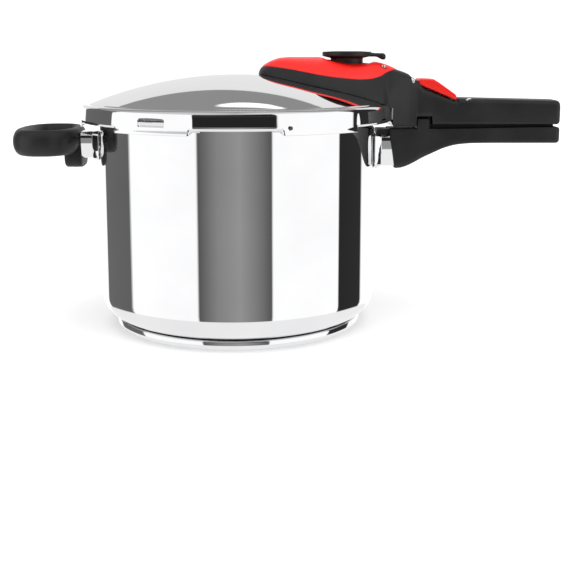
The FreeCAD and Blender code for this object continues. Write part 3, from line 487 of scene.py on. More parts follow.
FINISHES = {
    "polished_steel": polished_steel,
    "brushed_steel": brushed_steel,
    "turned_steel": turned_steel,
    "painted_shade_steel": painted_shade_steel,
    "black_moulding": black_moulding,
    "red_moulding": red_moulding,
    "silicone": silicone,
    "aluminium": aluminium,
    "printed_mark": printed_mark,
}


def finish_of(name):
    """The finish of that name, made the first time it is asked for."""
    return bpy.data.materials.get("finish_" + name) or FINISHES[name]()


FRAME_FINISH = {
    "polished_steel": "polished_steel",
    "machined_steel": "turned_steel",
    "aluminium_core": "aluminium",
    "black_plastic": "black_moulding",
    "red_plastic": "red_moulding",
    "silicone": "silicone",
    "white_print": "printed_mark",
}


# ---------------------------------------------------------------- pot
def azimuths(phase, lugs, arc_angle, extra=()):
    """Angles round a part: even steps, finer at each lug's ends and at extra (angle, reach)."""
    parts = [full_turn(288)]
    for number in range(lugs):
        middle = phase + number * 2 * math.pi / lugs
        for side in (-0.5, 0.5):
            parts.append(middle + side * arc_angle + np.radians(np.linspace(-1.6, 1.6, 13)))
    for angle, reach in extra:
        parts.append(angle + np.linspace(-reach, reach, 67))
    angles = np.unique(np.round(np.mod(np.concatenate(parts), 2 * math.pi), 5))
    apart = np.diff(angles, append=angles[0] + 2 * math.pi)
    return angles[apart > 0.0008]


def lug_share(angles, phase, lugs, arc_angle, ease):
    """1 within a lug and 0 between lugs, easing over a small angle at each end."""
    pitch = 2 * math.pi / lugs
    offset = np.abs(np.mod(angles - phase + pitch / 2, pitch) - pitch / 2)
    return 1 - smooth((offset - arc_angle / 2) / ease + 0.5)


LUG_PHASE = math.radians(-27.6)


def pot_body():
    """The drawn pot: a wall turned about the axis, whose rolled rim reaches out to each lug."""
    sizes = bpy.context.scene.cooker_pot
    wall = sizes.wall_radius / MM
    sheet = sizes.sheet / MM
    corner = sizes.corner / MM
    floor = CAP_HIGH[2] + 0.4
    inside = wall - sheet
    edge = wall + 5.0
    reach = POT_HIGH[0] - edge
    angles = azimuths(LUG_PHASE, sizes.lugs, sizes.lug_arc)
    share = lug_share(angles, LUG_PHASE, sizes.lugs, sizes.lug_arc, math.radians(1.6))
    lower = path(
        np.stack([np.linspace(0, wall - corner, 14), np.full(14, floor)], 1),
        arc(wall - corner, floor + corner, corner, -90, 0, 14),
        np.stack([np.full(10, wall), np.linspace(floor + corner + 3, RIM_Z - 6, 10)], 1),
        arc(wall + 1.6, RIM_Z - 3.9, 1.6, 180, 90, 6),
    )
    flange = path(
        np.array([[edge - 0.9, RIM_Z - 2.3]]),
        arc(edge - 0.9, RIM_Z - 1.3, 0.95, -80, 80, 9),
    )
    upper = path(
        np.array([[wall + 2.5, RIM_Z - 0.1]]),
        arc(wall + 1.2, RIM_Z - 1.25, 1.25, 90, 150, 5),
        np.array([[inside, RIM_Z - 2.4]]),
        np.stack([np.full(10, inside), np.linspace(RIM_Z - 4, floor + corner + 3, 10)], 1),
        arc(inside - corner + sheet, floor + corner, corner - sheet, 0, -90, 14),
        np.stack([np.linspace(inside - corner, 0, 14), np.full(14, floor + sheet)], 1),
    )
    whole = np.concatenate([lower, flange, upper])
    rows = np.repeat(whole[:, None], len(angles), 1)
    first = len(lower)
    last = first + len(flange)
    rows[first:last, :, 0] += reach * share
    part = Part("pot_wall")
    part.grid(spin(rows, angles), wrap_columns=True)
    piece = part.finish("pot", "polished_steel", finish_of("polished_steel"), ["pot_shell"], sharp=60)
    piece.data.materials.append(finish_of("brushed_steel"))
    centres = np.zeros(len(piece.data.polygons) * 3)
    normals = np.zeros(len(piece.data.polygons) * 3)
    piece.data.polygons.foreach_get("center", centres)
    piece.data.polygons.foreach_get("normal", normals)
    centres = centres.reshape(-1, 3) / MM
    normals = normals.reshape(-1, 3)
    radius = np.hypot(centres[:, 0], centres[:, 1])
    inward = (centres[:, :2] * normals[:, :2]).sum(1) < -0.3 * radius
    inner = (inward | ((normals[:, 2] > 0.3) & (radius < inside - 1))) & (centres[:, 2] < RIM_Z - 3.5)
    piece.data.polygons.foreach_set("material_index", inner.astype(np.int32))


def base():
    """Sandwich base: a steel cup with rolled edges whose underside has shallow turned rings."""
    radius = CAP_HIGH[0]
    top = CAP_HIGH[2]
    rings = np.linspace(0, radius - 8, 120)
    face = 0.18 * smooth((np.sin(rings * 0.55) - 0.82) * 8) * (rings > 12)
    profile = path(
        np.stack([rings, face], 1),
        arc(radius - 3.2, 3.2, 3.2, -90, 0, 8),
        arc(radius - 0.8, top - 0.8, 0.8, 0, 90, 5),
        np.array([[radius - 2.4, top], [radius - 2.4, top - 1.0], [0, top - 1.0]]),
    )
    part = Part("base_cup")
    part.grid(spin(profile, full_turn(240)), wrap_columns=True)
    part.finish("pot", "polished_steel", finish_of("polished_steel"), ["base_cap"], sharp=40)


# ---------------------------------------------------------------- lid
def dome_height(radius):
    """Height of the dome's sphere at a distance from the axis."""
    sphere = bpy.context.scene.cooker_lid.dome_radius / MM
    return DOME_TOP - sphere + np.sqrt(sphere ** 2 - np.square(radius))


def ledge_height():
    return DOME_TOP - bpy.context.scene.cooker_lid.dome_rise / MM


def lid_top(radius):
    """Height of the lid's upper surface: the dome, a step down to the ledge, then its round edge."""
    sizes = bpy.context.scene.cooker_lid
    edge = sizes.dome_edge / MM
    ledge = ledge_height()
    radius = np.asarray(radius, float)
    dome = dome_height(np.minimum(radius, edge))
    share = smooth((radius - edge) / 1.6)
    height = dome * (1 - share) + ledge * share
    drop = np.clip(radius - (LID_RADIUS - 3.2), 0, 3.2)
    return height - (3.2 - np.sqrt(3.2 ** 2 - drop ** 2))


def lid_profiles(share):
    """Outer and inner profile of the lid sheet at each angle, from the axis to the lower edge.
    Over a lug the skirt leans out a little on its way down to the fold.
    Below the round edge the middle line is a blend of two paths: straight down with a small
    flare, and down, round a bend and inwards as the lug's lip."""
    sizes = bpy.context.scene.cooker_lid
    lean = 0.9
    sheet = sizes.sheet / MM
    edge = sizes.dome_edge / MM
    ledge = ledge_height()
    radii = np.concatenate([np.linspace(0, edge - 4, 28), np.linspace(edge - 3, edge - 0.4, 3)])
    crown = np.stack([radii, dome_height(radii)], 1)
    step = np.stack([np.linspace(edge, edge + 1.8, 7), lid_top(np.linspace(edge, edge + 1.8, 7))], 1)
    flat = np.stack([np.linspace(edge + 2.2, LID_RADIUS - 3.5, 3), np.full(3, ledge)], 1)
    bend = arc(LID_RADIUS - 3.2, ledge - 3.2, 3.2, 90, 0, 8)
    bands = np.linspace(ledge - 3.5, ledge - 10.6, 16)
    upper = np.concatenate([crown, step, flat, bend, np.stack([np.full(16, LID_RADIUS), bands], 1)])
    t = np.linspace(0, 1, 17)
    start = bands[-1] - 0.4
    low = SKIRT_Z + 0.5
    middle = LID_RADIUS - sheet / 2
    plain = np.stack([middle + FLARE * smooth(t * 1.6 - 0.6), start + (low - start) * t], 1)
    lip = ledge - 14.1 + sheet / 2
    turn = 2.2
    down = start - lip - turn
    total = down + turn * math.pi / 2 + 4.6
    s = t * total
    swing = np.clip((s - down) / turn, 0, math.pi / 2)
    inward = np.clip(s - down - turn * math.pi / 2, 0, None)
    folded = np.stack([
        middle - turn * (1 - np.cos(swing)) - inward,
        start - np.minimum(s, down) - turn * np.sin(swing),
    ], 1)
    line = plain[:, None] * (1 - share[None, :, None]) + folded[:, None] * share[None, :, None]
    along = np.gradient(line, axis=0)
    along /= np.linalg.norm(along, axis=2, keepdims=True)
    across = np.stack([-along[..., 1], along[..., 0]], 2)
    half = sheet / 2
    outer_low = line + across * half
    inner_low = line - across * half
    tip = line[-1:] + along[-1:] * half * 0.6
    inner = upper.copy()
    slope = np.gradient(upper, axis=0)
    slope /= np.linalg.norm(slope, axis=1, keepdims=True)
    inner += np.stack([slope[:, 1], -slope[:, 0]], 1) * sheet
    inner[0] = (0, upper[0, 1] - sheet)
    outer = np.concatenate([np.repeat(upper[:, None], len(share), 1), outer_low])
    inner = np.concatenate([np.repeat(inner[:, None], len(share), 1), inner_low])
    for rows in (outer, tip, inner):
        skirt = rows[..., 0] > LID_RADIUS - 9
        rows[..., 0] += lean * share * smooth((ledge - 1.0 - rows[..., 1]) / 14) * skirt
    return outer, tip, inner


WINDOW_AZIMUTH = math.radians(-116.5) + 2 * math.pi
WINDOW_DEPTH = 9.0
WINDOW_CORNER = 1.3


def open_window(along, level, radius, half, tall):
    """Bends a square patch of the grid so that its hole gets round corners: about the core of
    the hole, square distance becomes round distance, fading out two corner radii away."""
    core_a = np.clip(along, -(half - radius), half - radius)
    core_b = np.clip(level, -(tall - radius), tall - radius)
    a, b = along - core_a, level - core_b
    square = np.maximum(np.abs(a), np.abs(b))
    round_ = np.hypot(a, b)
    ratio = np.where(round_ > 1e-9, square / np.where(round_ > 1e-9, round_, 1), 1)
    fade = 1 - smooth((square - radius) / (2 * radius))
    factor = 1 + fade * (ratio - 1)
    crown = 0.5 * (1 - np.clip(along / half, -1, 1) ** 2) * np.clip(level / tall, 0, 1) * fade
    return core_a + a * factor, core_b + b * factor + crown


def lid():
    """The pressed lid: dome, ledge, skirt with a safety window, and folded lugs."""
    sizes = bpy.context.scene.cooker_lid
    pot = bpy.context.scene.cooker_pot
    half = sizes.window_length / MM / 2
    tall = sizes.window_height / MM / 2
    reach = (half + 4) / LID_RADIUS
    angles = azimuths(LUG_PHASE, pot.lugs, sizes.lug_arc, [(WINDOW_AZIMUTH, reach)])
    for side in (-1, 1):
        nearest = np.argmin(np.abs(angles - WINDOW_AZIMUTH - side * half / LID_RADIUS))
        angles[nearest] = WINDOW_AZIMUTH + side * half / LID_RADIUS
    share = lug_share(angles, LUG_PHASE, pot.lugs, sizes.lug_arc, math.radians(1.3))
    outer, tip, inner = lid_profiles(share)
    middle = ledge_height() - WINDOW_DEPTH
    offset = angles - WINDOW_AZIMUTH
    near = np.abs(offset) < reach
    middle_column = np.argmin(np.abs(offset))
    levels = outer[:, middle_column, 1] - middle
    upright = outer[:, middle_column, 0] > LID_RADIUS - 0.05
    band_rows = np.flatnonzero(upright & (np.abs(levels) < tall + 3.4))
    for side in (-1, 1):
        row = band_rows[np.argmin(np.abs(levels[band_rows] - side * tall))]
        outer[row, :, 1] = middle + side * tall
        inner[row, :, 1] = middle + side * tall
    surfaces = []
    for profile in (outer, inner):
        turned_angles = np.repeat(angles[None], len(profile), 0)
        along = np.repeat(offset[None] * LID_RADIUS, len(profile), 0)
        level = profile[..., 1] - middle
        number = np.arange(len(profile))[:, None]
        bent = (number >= band_rows[0]) & (number <= band_rows[-1] + 6) & near[None]
        moved, raised = open_window(along, level, WINDOW_CORNER, half, tall)
        turned_angles = np.where(bent, WINDOW_AZIMUTH + moved / LID_RADIUS, turned_angles)
        height = np.where(bent, middle + raised, profile[..., 1])
        radius = profile[..., 0]
        surfaces.append(np.stack([radius * np.cos(turned_angles), radius * np.sin(turned_angles), height], 2))
    top_row = band_rows[np.argmin(np.abs(levels[band_rows] - tall))]
    low_row = band_rows[np.argmin(np.abs(levels[band_rows] + tall))]
    first = np.argmin(np.abs(offset + half / LID_RADIUS))
    last = np.argmin(np.abs(offset - half / LID_RADIUS))
    count = len(angles)
    rows = len(outer)
    drop = np.zeros((2 * rows + 1, count), bool)
    drop[top_row:low_row, first:last] = True
    mirrored_top = 2 * rows - low_row
    mirrored_low = 2 * rows - top_row
    drop[mirrored_top:mirrored_low, first:last] = True
    rim = spin(tip, angles)
    whole = np.concatenate([surfaces[0], rim, surfaces[1][::-1]])
    part = Part("lid_pressing")
    start = part.grid(whole, wrap_columns=True, drop=drop)
    ring = np.array(
        [(top_row, j) for j in range(first, last)] + [(i, last) for i in range(top_row, low_row)]
        + [(low_row, j) for j in range(last, first, -1)]
        + [(i, first) for i in range(low_row, top_row, -1)])
    out = start + ring[:, 0] * count + ring[:, 1]
    back = start + (2 * rows - ring[:, 0]) * count + ring[:, 1]
    part.faces += np.stack([out, np.roll(out, -1), np.roll(back, -1), back], 1).tolist()
    part.finish("lid", "polished_steel", finish_of("polished_steel"), ["lid_shell"], sharp=50)


# ---------------------------------------------------------------- long handles
# Lines along the handles: (distance from the axis, height above the handles' split or half width).
TOP_LINE = [(17, 43.0), (18, 46.2), (20, 48.8), (23, 51.0), (28, 53.6), (35, 55.7), (44, 56.3), (67, 56.3),
            (78, 55.6), (90, 54.4), (102, 53.4), (112, 52.4), (120, 50.4), (128, 47.0), (136, 44.0),
            (140, 41.6), (145, 38.4)]
HALF_WIDTH = [(17, 0.5), (17.6, 4.5), (19, 9.4), (21.5, 14.6), (25, 20.0), (32, 28.0), (44, 37.0), (55, 43.0),
              (64, 45.5), (76, 44.6), (88, 42.2), (102, 39.6), (113, 35.6), (122, 30.0), (131, 23.2),
              (139, 18.0), (146, 16.5), (262, 16.2)]
SEAM_LINE = [(20, 48.6), (24, 49.4), (32, 48.8), (44, 47.2), (56, 45.0), (70, 42.4), (84, 40.6), (98, 39.6),
             (106, 40.0), (114, 42.0), (122, 45.6), (128, 47.2)]
WAIST_LINE = [(124, 17.6), (134, 15.6), (146, 13.6), (262, 12.6)]
BED_START = SLIDER_LOW[0] - 4.5
CHEEK_END = SLIDER_LOW[0] + 4.0
BED_END = SLIDER_HIGH[0] + 2.6
TRACK = 12.6
STEP_X = LID_RADIUS + 1.9
NOTCH = (143.8, 156.4)
END_X = GRIP_HIGH[0]


def rise(x, at, width):
    """Steps from 0 to 1 at a place, rounded over a width."""
    return smooth((np.asarray(x, float) - at) / width + 0.5)


def bed(x):
    """Height of the sloping bed under the lock slider."""
    return SPLIT + 37.6 - 0.42 * (np.asarray(x, float) - BED_START)


def top_height(x):
    """Crest of the housing: the flowing top line, the sloping bed, a step, and the grip."""
    crest = SPLIT + flow(x, TOP_LINE)
    grip = SPLIT + 24.3 - 1.9 * (np.asarray(x, float) - BED_END) / (END_X - BED_END)
    low = crest + (bed(x) - crest) * rise(x, CHEEK_END, 6.0)
    return low + (grip - low) * rise(x, BED_END, 1.6)


def end_share(x):
    """Share of width and height left near the rounded end of a grip."""
    reach, power = 5.0, 2.6
    into = np.clip((np.asarray(x, float) - (END_X - reach)) / reach, 0, 1)
    return (1 - into ** power) ** (1 / power)


def waist_height(x):
    """Height of the housing's widest line: just over the lid, then half way up the grip."""
    wide = flow(x, HALF_WIDTH)
    over_lid = lid_top(np.minimum(np.hypot(x, wide), LID_RADIUS)) + LID_GAP
    return over_lid + (SPLIT + flow(x, WAIST_LINE) - over_lid) * smooth((x - STEP_X + 4) / 8)


def squareness(x):
    """Powers of the section's superellipse across and up: full over the dome, boxy at the grip."""
    grip = smooth((np.asarray(x, float) - 118) / 26)
    return 2.2 + 4.4 * grip, 1.3 + 3.7 * grip


def bow(x, y):
    """How far the housing draws back sideways where it steps down round the skirt's circle."""
    return (STEP_X - np.sqrt(STEP_X ** 2 - np.minimum(y, 60) ** 2)) * smooth(1 - np.abs(x - STEP_X) / 14)


def skin(x, share):
    """The housing's upper skin. Across, y is the share times the half width. Up, z goes from
    the waist to the crest by one less the share's power, to the inverse of the other power.
    It is bowed to follow the skirt's circle where the housing steps down past it."""
    x = np.asarray(x, float)
    share = np.asarray(share, float)
    across, up = squareness(x)
    keep = end_share(x)
    y = share * flow(x, HALF_WIDTH) * keep
    waist = waist_height(x)
    crest = waist + (top_height(x) - waist) * keep
    lift = (1 - np.minimum(np.abs(share), 1) ** across) ** (1 / up)
    z = waist + (crest - waist) * lift
    track = rise(x, BED_START, 0.5) * (1 - rise(np.abs(y), TRACK, 0.3)) * (x < CHEEK_END + 1)
    z = z + (np.minimum(z, bed(x)) - z) * track
    far = np.hypot(x - KNOB_X, y)
    z = z - 1.7 * (1 - rise(far, 21.2, 1.6)) * (x < 124)
    return np.stack([x - bow(x, y), y, z], -1)


def underside(x, share):
    """The housing's lower skin: on the lid's own surface over the dome; past the skirt, a
    boxy superellipse hung from the waist, narrowing to the grip's width, with the notch."""
    x = np.asarray(x, float)
    share = np.asarray(share, float)
    keep = end_share(x)
    wide = flow(x, HALF_WIDTH)
    over = rise(x, STEP_X, 0.9)
    y_lid = share * wide
    x_lid = x - bow(x, y_lid)
    z_lid = lid_top(np.minimum(np.hypot(x_lid, y_lid), LID_RADIUS)) + LID_GAP
    z_lid = np.minimum(z_lid, skin(x, share)[..., 2])
    low = SPLIT + 1.6 + TAB_HEIGHT * (rise(x, NOTCH[0], 0.6) - rise(x, NOTCH[1], 0.6))
    low = low + 1.6 * rise(x, NOTCH[1], 0.6)
    waist = waist_height(x)
    drop = (1 - np.minimum(np.abs(share), 1) ** 16) ** (1 / 12)
    z_grip = waist - (waist - low) * drop * keep
    half_grip = 16.3
    slim = wide + (np.minimum(wide, half_grip) - wide) * np.minimum(drop * 1.15, 1)
    y_grip = share * slim * keep
    y = y_lid + (y_grip - y_lid) * over
    return np.stack([x_lid, y, z_lid + (z_grip - z_lid) * over], -1)


def stops(*places, reach=1.2):
    """Close stations about each step."""
    return np.concatenate([at + np.linspace(-reach / 2, reach / 2, 7) for at in places])


def stations(*parts):
    """Stations along a grip in order, without any that nearly fall together; they end close
    together round its far end."""
    end = END_X - 6 * (1 - np.sin(np.linspace(0, math.pi / 2, 10)))
    x = np.unique(np.round(np.concatenate([*parts, end]), 3))
    return x[np.concatenate([[True], np.diff(x) > 0.05])]


def housing():
    """Black housing and upper grip of the lid handle, from one skin over and one under it."""
    x = stations(
        17 + 14 * np.linspace(0, 1, 18) ** 2, np.arange(32.5, 120, 2.0), np.arange(120, 150, 1.0),
        np.arange(151, 253.5, 4.5), stops(STEP_X, BED_START, NOTCH[0], CHEEK_END, NOTCH[1], BED_END))
    share = np.sin(np.linspace(-math.pi / 2, math.pi / 2, 57))
    edge = TRACK / 16.6
    share = np.sort(np.concatenate([share, edge + np.array([-.02, -.008, .008, .02]),
                                    -edge + np.array([-.02, -.008, .008, .02])]))
    below = np.sin(np.linspace(math.pi / 2, -math.pi / 2, 39))[1:-1]
    across, along = np.meshgrid(share, x)
    upper = skin(along, across)
    across, along = np.meshgrid(below, x)
    part = Part("lid_handle_housing")
    part.tube(np.concatenate([upper, underside(along, across)], 1))
    part.finish("lid", "black_plastic", finish_of("black_moulding"), ["lid_handle"], sharp=50)


def cover():
    """Red cover: the skin inside the seam, raised a little, with a rounded edge turned into it.
    The seam's share of the width is where the skin falls to the seam line."""
    x = 20.6 + (128.2 - 20.6) * (0.5 - 0.5 * np.cos(np.linspace(0.02, math.pi - 0.02, 96)))
    waist = waist_height(x)
    crest = top_height(x)
    across, up = squareness(x)
    fall = np.clip((SPLIT + flow(x, SEAM_LINE) - waist) / (crest - waist), 0, 1)
    seam = (1 - fall ** up) ** (1 / across)
    seam = np.minimum(seam, 0.985)
    seam = seam * (1 - np.clip((21.8 - x) / 1.6, 0, 1) ** 2) ** 0.5
    lift = 0.45
    t = np.sin(np.linspace(-math.pi / 2, math.pi / 2, 61))
    wide = flow(x, HALF_WIDTH)
    margin = np.minimum(lift * 0.8 / np.maximum(wide, 1), 0.3 * seam)

    def layer(raise_, pull):
        rows = skin(x[:, None] + 0 * t[None], (seam - pull * margin)[:, None] * t[None])
        rows[..., 2] += raise_
        return rows

    top = layer(lift, 1.0)
    shoulder = layer(lift * 0.72, 0.3)
    brim = layer(0.0, 0.0)
    bottom = layer(-1.4, 0.6)
    rings = np.concatenate([
        top, shoulder[:, -1:], brim[:, -1:], bottom[:, ::-1], brim[:, :1], shoulder[:, :1]], 1)
    part = Part("red_cover")
    part.tube(rings)
    part.finish("lid", "red_plastic", finish_of("red_moulding"), ["handle_cover"], sharp=60)


def slider():
    """Red lock slider: a boxy superellipse over the bed whose crest runs flat, then slopes down."""
    start = SLIDER_LOW[0] + 2.4
    end = SLIDER_HIGH[0] + 1.4
    x = np.unique(np.round(np.concatenate([
        np.linspace(start + 0.01, start + 1.6, 8), np.arange(start + 2, end - 1.3, 1.0),
        np.linspace(end - 1.2, end - 0.01, 7)]), 3))
    crest = SPLIT + flow(x - start, [(0, 38.2), (0.8, 39.4), (3, 39.6), (11.8, 39.3), (13.6, 38.4),
                                     (26.6, 29.4), (28.8, 27.9), (30.4, 25.8)])
    low = bed(x) + 0.3
    wide = 13.8 + 1.2 * rise(x, start + 3, 3)
    into = np.clip(np.maximum((start + 1.6 - x) / 1.6, (x - end + 1.2) / 1.2), 0, 1)
    keep = np.sqrt(np.clip(1 - into ** 2, 0, 1)) * 0.25 + 0.75
    angle = full_turn(56)
    cosine, sine = np.cos(angle), np.sin(angle)
    across = bulge(cosine, 1 / 4.5)
    up = bulge(sine, 1 / 4.0)
    middle = (crest + low) / 2
    half = np.maximum((crest - low) / 2, 0.4) * keep
    rings = np.zeros((len(x), len(angle), 3))
    rings[..., 0] = x[:, None]
    rings[..., 1] = (wide * (0.5 + 0.5 * keep))[:, None] * across
    rings[..., 2] = middle[:, None] + half[:, None] * up
    part = Part("lock_thumb")
    part.tube(rings)
    part.finish("lock", "red_plastic", finish_of("red_moulding"), ["lock_slider"], sharp=40)


def lower_grip():
    """Pot handle: a boxy superellipse along x whose lower line sweeps up into a level grip,
    with a square tab that stands in the notch above and an inner face leaning with the guard."""
    tab_start, tab_end = 144.6, 154.0
    half_width, half_rib, half_shelf = 16.0, 9.0, 12.0
    x = stations(
        122 + 8 * np.linspace(0, 1, 12) ** 1.6, np.arange(131, 160, 1.5), np.arange(161, 253.5, 4.5),
        stops(tab_start, tab_end, reach=0.9))
    tab = rise(x, tab_start, 0.5) - rise(x, tab_end, 0.5)
    crest = SPLIT + 1.4 * smooth((x - 156) / 104) + TAB_HEIGHT * tab
    low = SPLIT + flow(x, [(122, -32.4), (126, -32.2), (131, -31.2), (139, -28.4), (154, -21.6), (168, -15.4),
                           (178, -13.0), (190, -12.1), (210, -11.9), (262, -11.9)])
    keep = end_share(x)
    inner = np.sqrt(np.clip(1 - np.clip((122.8 - x) / 0.8, 0, 1) ** 2, 0, 1)) * 0.06 + 0.94
    middle = (crest + low) / 2
    half = (crest - low) / 2
    angle = full_turn(120)
    cosine, sine = np.cos(angle), np.sin(angle)
    power = np.where(sine > 0, 9.0, 4.0)
    across = bulge(cosine, 1 / power)
    up = bulge(sine, 1 / power)
    rings = np.zeros((len(x), len(angle), 3))
    z = middle[:, None] + (half * keep)[:, None] * up * (0.8 + 0.2 * inner[:, None])
    lean = 5.0 * np.clip((SPLIT - z) / 32.0, 0, 1) * (1 - smooth((x[:, None] - 122) / 34))
    rings[..., 0] = x[:, None] + lean
    rings[..., 1] = (half_width * keep * inner)[:, None] * across
    rings[..., 2] = z
    part = Part("lower_grip")
    part.tube(rings)
    shelf = rounded([(112.6, SPLIT - 9.5, 1), (124.5, SPLIT - 9.5, 1), (124.5, SPLIT - 0.8, 0.5),
                     (112.6, SPLIT - 0.8, 1)], 4)
    slab(part, shelf, -half_shelf, half_shelf)
    far, rib_top, step_top = END_X - 5.5, SPLIT + 2.8, SPLIT + 9.1
    ribs = rounded([(145.2, SPLIT - 2, 0), (far, SPLIT - 2, 0), (far, rib_top, 0.3),
                    (155.9, rib_top, 0), (155.9, step_top, 0.3), (145.2, step_top, 0.3)], 4)
    slab(part, ribs, -half_rib, half_rib)
    part.finish("pot", "black_plastic", finish_of("black_moulding"), ["pot_handle"], sharp=50)


# ---------------------------------------------------------------- side handle and guards
def super_path(count, centre, half_x, half_y, power):
    """Closed flat superellipse with its outward normals."""
    angle = full_turn(count)
    cosine, sine = np.cos(angle), np.sin(angle)
    a = centre + half_x * bulge(cosine, 2 / power)
    b = half_y * bulge(sine, 2 / power)
    line = np.stack([a, b], 1)
    along = np.roll(line, -1, 0) - np.roll(line, 1, 0)
    along /= np.linalg.norm(along, axis=1, keepdims=True)
    return line, np.stack([along[:, 1], -along[:, 0]], 1)


def loop_handle():
    """Side handle: a full oval section carried round a flat superellipse, and a root block."""
    low, high = LOOP_LOW, LOOP_HIGH
    outer, inner = low[0], high[0] - 4.5
    bar, tall = 11.6, 20.6
    top = high[2] + 0.4
    centre = (outer + inner) / 2
    line, normal = super_path(132, centre, (inner - outer - bar) / 2, high[1] - bar / 2, 2.5)
    angle = full_turn(40)
    cosine, sine = np.cos(angle), np.sin(angle)
    out = bar / 2 * cosine
    up = tall / 2 * bulge(sine, 0.94)
    rings = np.zeros((len(line), len(angle), 3))
    rings[..., :2] = line[:, None] + normal[:, None] * out[None, :, None]
    rings[..., 2] = top - tall / 2 + up
    part = Part("side_grip")
    part.grid(rings, wrap_rows=True, wrap_columns=True)
    x = np.concatenate([
        [inner - 14, inner - 13.6], np.linspace(inner - 12.6, inner - 1.2, 8), [inner - 0.3, inner]])
    keep = 1 - 0.12 * np.clip(np.maximum((inner - 12.4 - x) / 1.6, (x - inner + 1.2) / 1.2), 0, 1) ** 2
    base_z, top_z = SPLIT - 32.0, SPLIT - 6.0
    half_width, half_height = 14.0, (top_z - base_z) / 2
    around = full_turn(56)
    cosine, sine = np.cos(around), np.sin(around)
    block = np.zeros((len(x), len(around), 3))
    block[..., 0] = x[:, None]
    block[..., 1] = (half_width * keep)[:, None] * bulge(cosine, 0.5)
    block[..., 2] = (base_z + top_z) / 2 + (half_height * keep)[:, None] * bulge(sine, 0.5)
    part.tube(block)
    part.finish("pot", "black_plastic", finish_of("black_moulding"), ["side_handle"], sharp=60)
    part = Part("side_screw")
    head = np.array([[0, 2.0], [3.5, 2.0], [3.5, -0.1], [3.2, -0.4], [1.6, -0.4], [1.6, 0.6], [0, 0.6]])
    head[:, 1] += base_z
    part.grid(spin(head, full_turn(48), (inner - 7.0, 0)), wrap_columns=True)
    part.finish("pot", "machined_steel", finish_of("turned_steel"), ["side_handle_screw"], sharp=40)


def guard(name, node, plate, side, lean, longer):
    """Bright guard between wall and handle: a hollow box carried out along x, whose section is
    a superellipse of power six. At the wall it flares into a lip; below a crease its sides
    taper towards the bottom. The bracket it hides is left out of sight inside it."""
    low, high = corners(node)
    near = side * (bpy.context.scene.cooker_pot.wall_radius / MM + 0.8)
    length_ = abs((high[0] if side > 0 else low[0]) - near) + longer
    depth = np.array([0, 0.15, 0.5, 0.65, 4.55, 4.7, 4.85, 5.1, 6.0, 0.8 * length_, length_])
    lip = np.array([0.94, 0.99, 1.0, 0.966, 0.08, 0.046, 0.01, 0, 0, 0, 0])
    half_y = (high[1] - low[1]) / 2
    bottom = low[2] - 2.0 * lip
    top = high[2] + 0.5 * lip
    crease = high[2] - 0.34 * (high[2] - low[2])
    sleeve = np.clip((depth - 4.6) / 0.5, 0, 1)
    angle = full_turn(96)
    cosine, sine = np.cos(angle), np.sin(angle)
    across = bulge(cosine, 1 / 3.0)
    up = bulge(sine, 1 / 3.0)

    def shell(shrink):
        rings = np.zeros((len(depth), len(angle), 3))
        z = ((top + bottom) / 2)[:, None] + ((top - bottom) / 2 - shrink)[:, None] * up
        below = np.clip((crease - z) / (crease - low[2]), 0, 1)
        y = (half_y + 3.9 * lip - shrink)[:, None] * across * (1 - 0.2 * sleeve[:, None] * below)
        pull = lean * (1 + up[None, :]) / 2 * np.clip((depth - 5.1) / (length_ - 5.1), 0, 1)[:, None]
        bow = (abs(near) - np.sqrt(abs(near) ** 2 - y ** 2)) * (1 - depth[:, None] / length_)
        rings[..., 0] = near + side * (depth[:, None] - pull - bow)
        rings[..., 1] = y
        rings[..., 2] = z
        return rings

    part = Part(name)
    rings = np.concatenate([shell(0.0), shell(0.9)[::-1]])
    part.grid(rings, wrap_rows=True, wrap_columns=True)
    part.finish("pot", "polished_steel", finish_of("polished_steel"), [node, plate], sharp=50)


# ---------------------------------------------------------------- knob, pin and marks
def knob():
    """Pressure knob: a turned disc on a neck, and a flat lever whose end droops and swells."""
    top = KNOB_HIGH[2]
    low = KNOB_LOW[2]
    disc = 19.8
    profile = path(
        np.array([[0, top], [8, top], [12, top - 0.1], [15, top - 0.3], [disc - 1.6, top - 0.5]]),
        arc(disc - 0.9, top - 1.3, 0.9, 80, 0, 5),
        arc(disc - 0.9, top - 3.2, 0.9, 0, -70, 5),
        np.array([[16.4, top - 4.8], [14.0, top - 5.3]]),
        arc(14.0, top - 6.3, 1.0, 90, 180, 5),
        np.array([[12.9, top - 9.0], [12.9, low + 0.6], [12.5, low], [0, low]]),
    )
    part = Part("pressure_knob")
    part.grid(spin(profile, full_turn(96), (KNOB_X, 0)), wrap_columns=True)
    t = np.linspace(0, 1, 26)
    reach = KNOB_HIGH[0] - KNOB_X
    along = 8 + (reach - 8.0) * np.sin(t * math.pi / 2)
    half = flow(along, [(8, 8.0), (20, 6.2), (26, 4.8), (29, 4.8), (reach, 4.4)])
    level = top + flow(along, [(8, -2.7), (18, -2.8), (24, -3.1), (27, -3.9), (reach, -4.6)])
    thick = flow(along, [(8, 1.7), (18, 1.7), (23, 1.5), (26, 2.0), (28.6, 2.6), (reach, 2.6)])
    close = (1 - np.clip((along - (reach - 2.6)) / 2.6, 0, 1) ** 2.4) ** (1 / 2.4)
    angle = full_turn(36)
    cosine, sine = np.cos(angle), np.sin(angle)
    across = bulge(cosine, 0.6)
    up = bulge(sine, 0.7)
    rings = np.zeros((len(t), len(angle), 3))
    rings[..., 0] = KNOB_X + along[:, None]
    rings[..., 1] = (half * close)[:, None] * across
    rings[..., 2] = level[:, None] + (thick * close)[:, None] * up
    part.tube(rings)
    part.finish("regulator", "black_plastic", finish_of("black_moulding"), ["regulator_knob"], sharp=48)


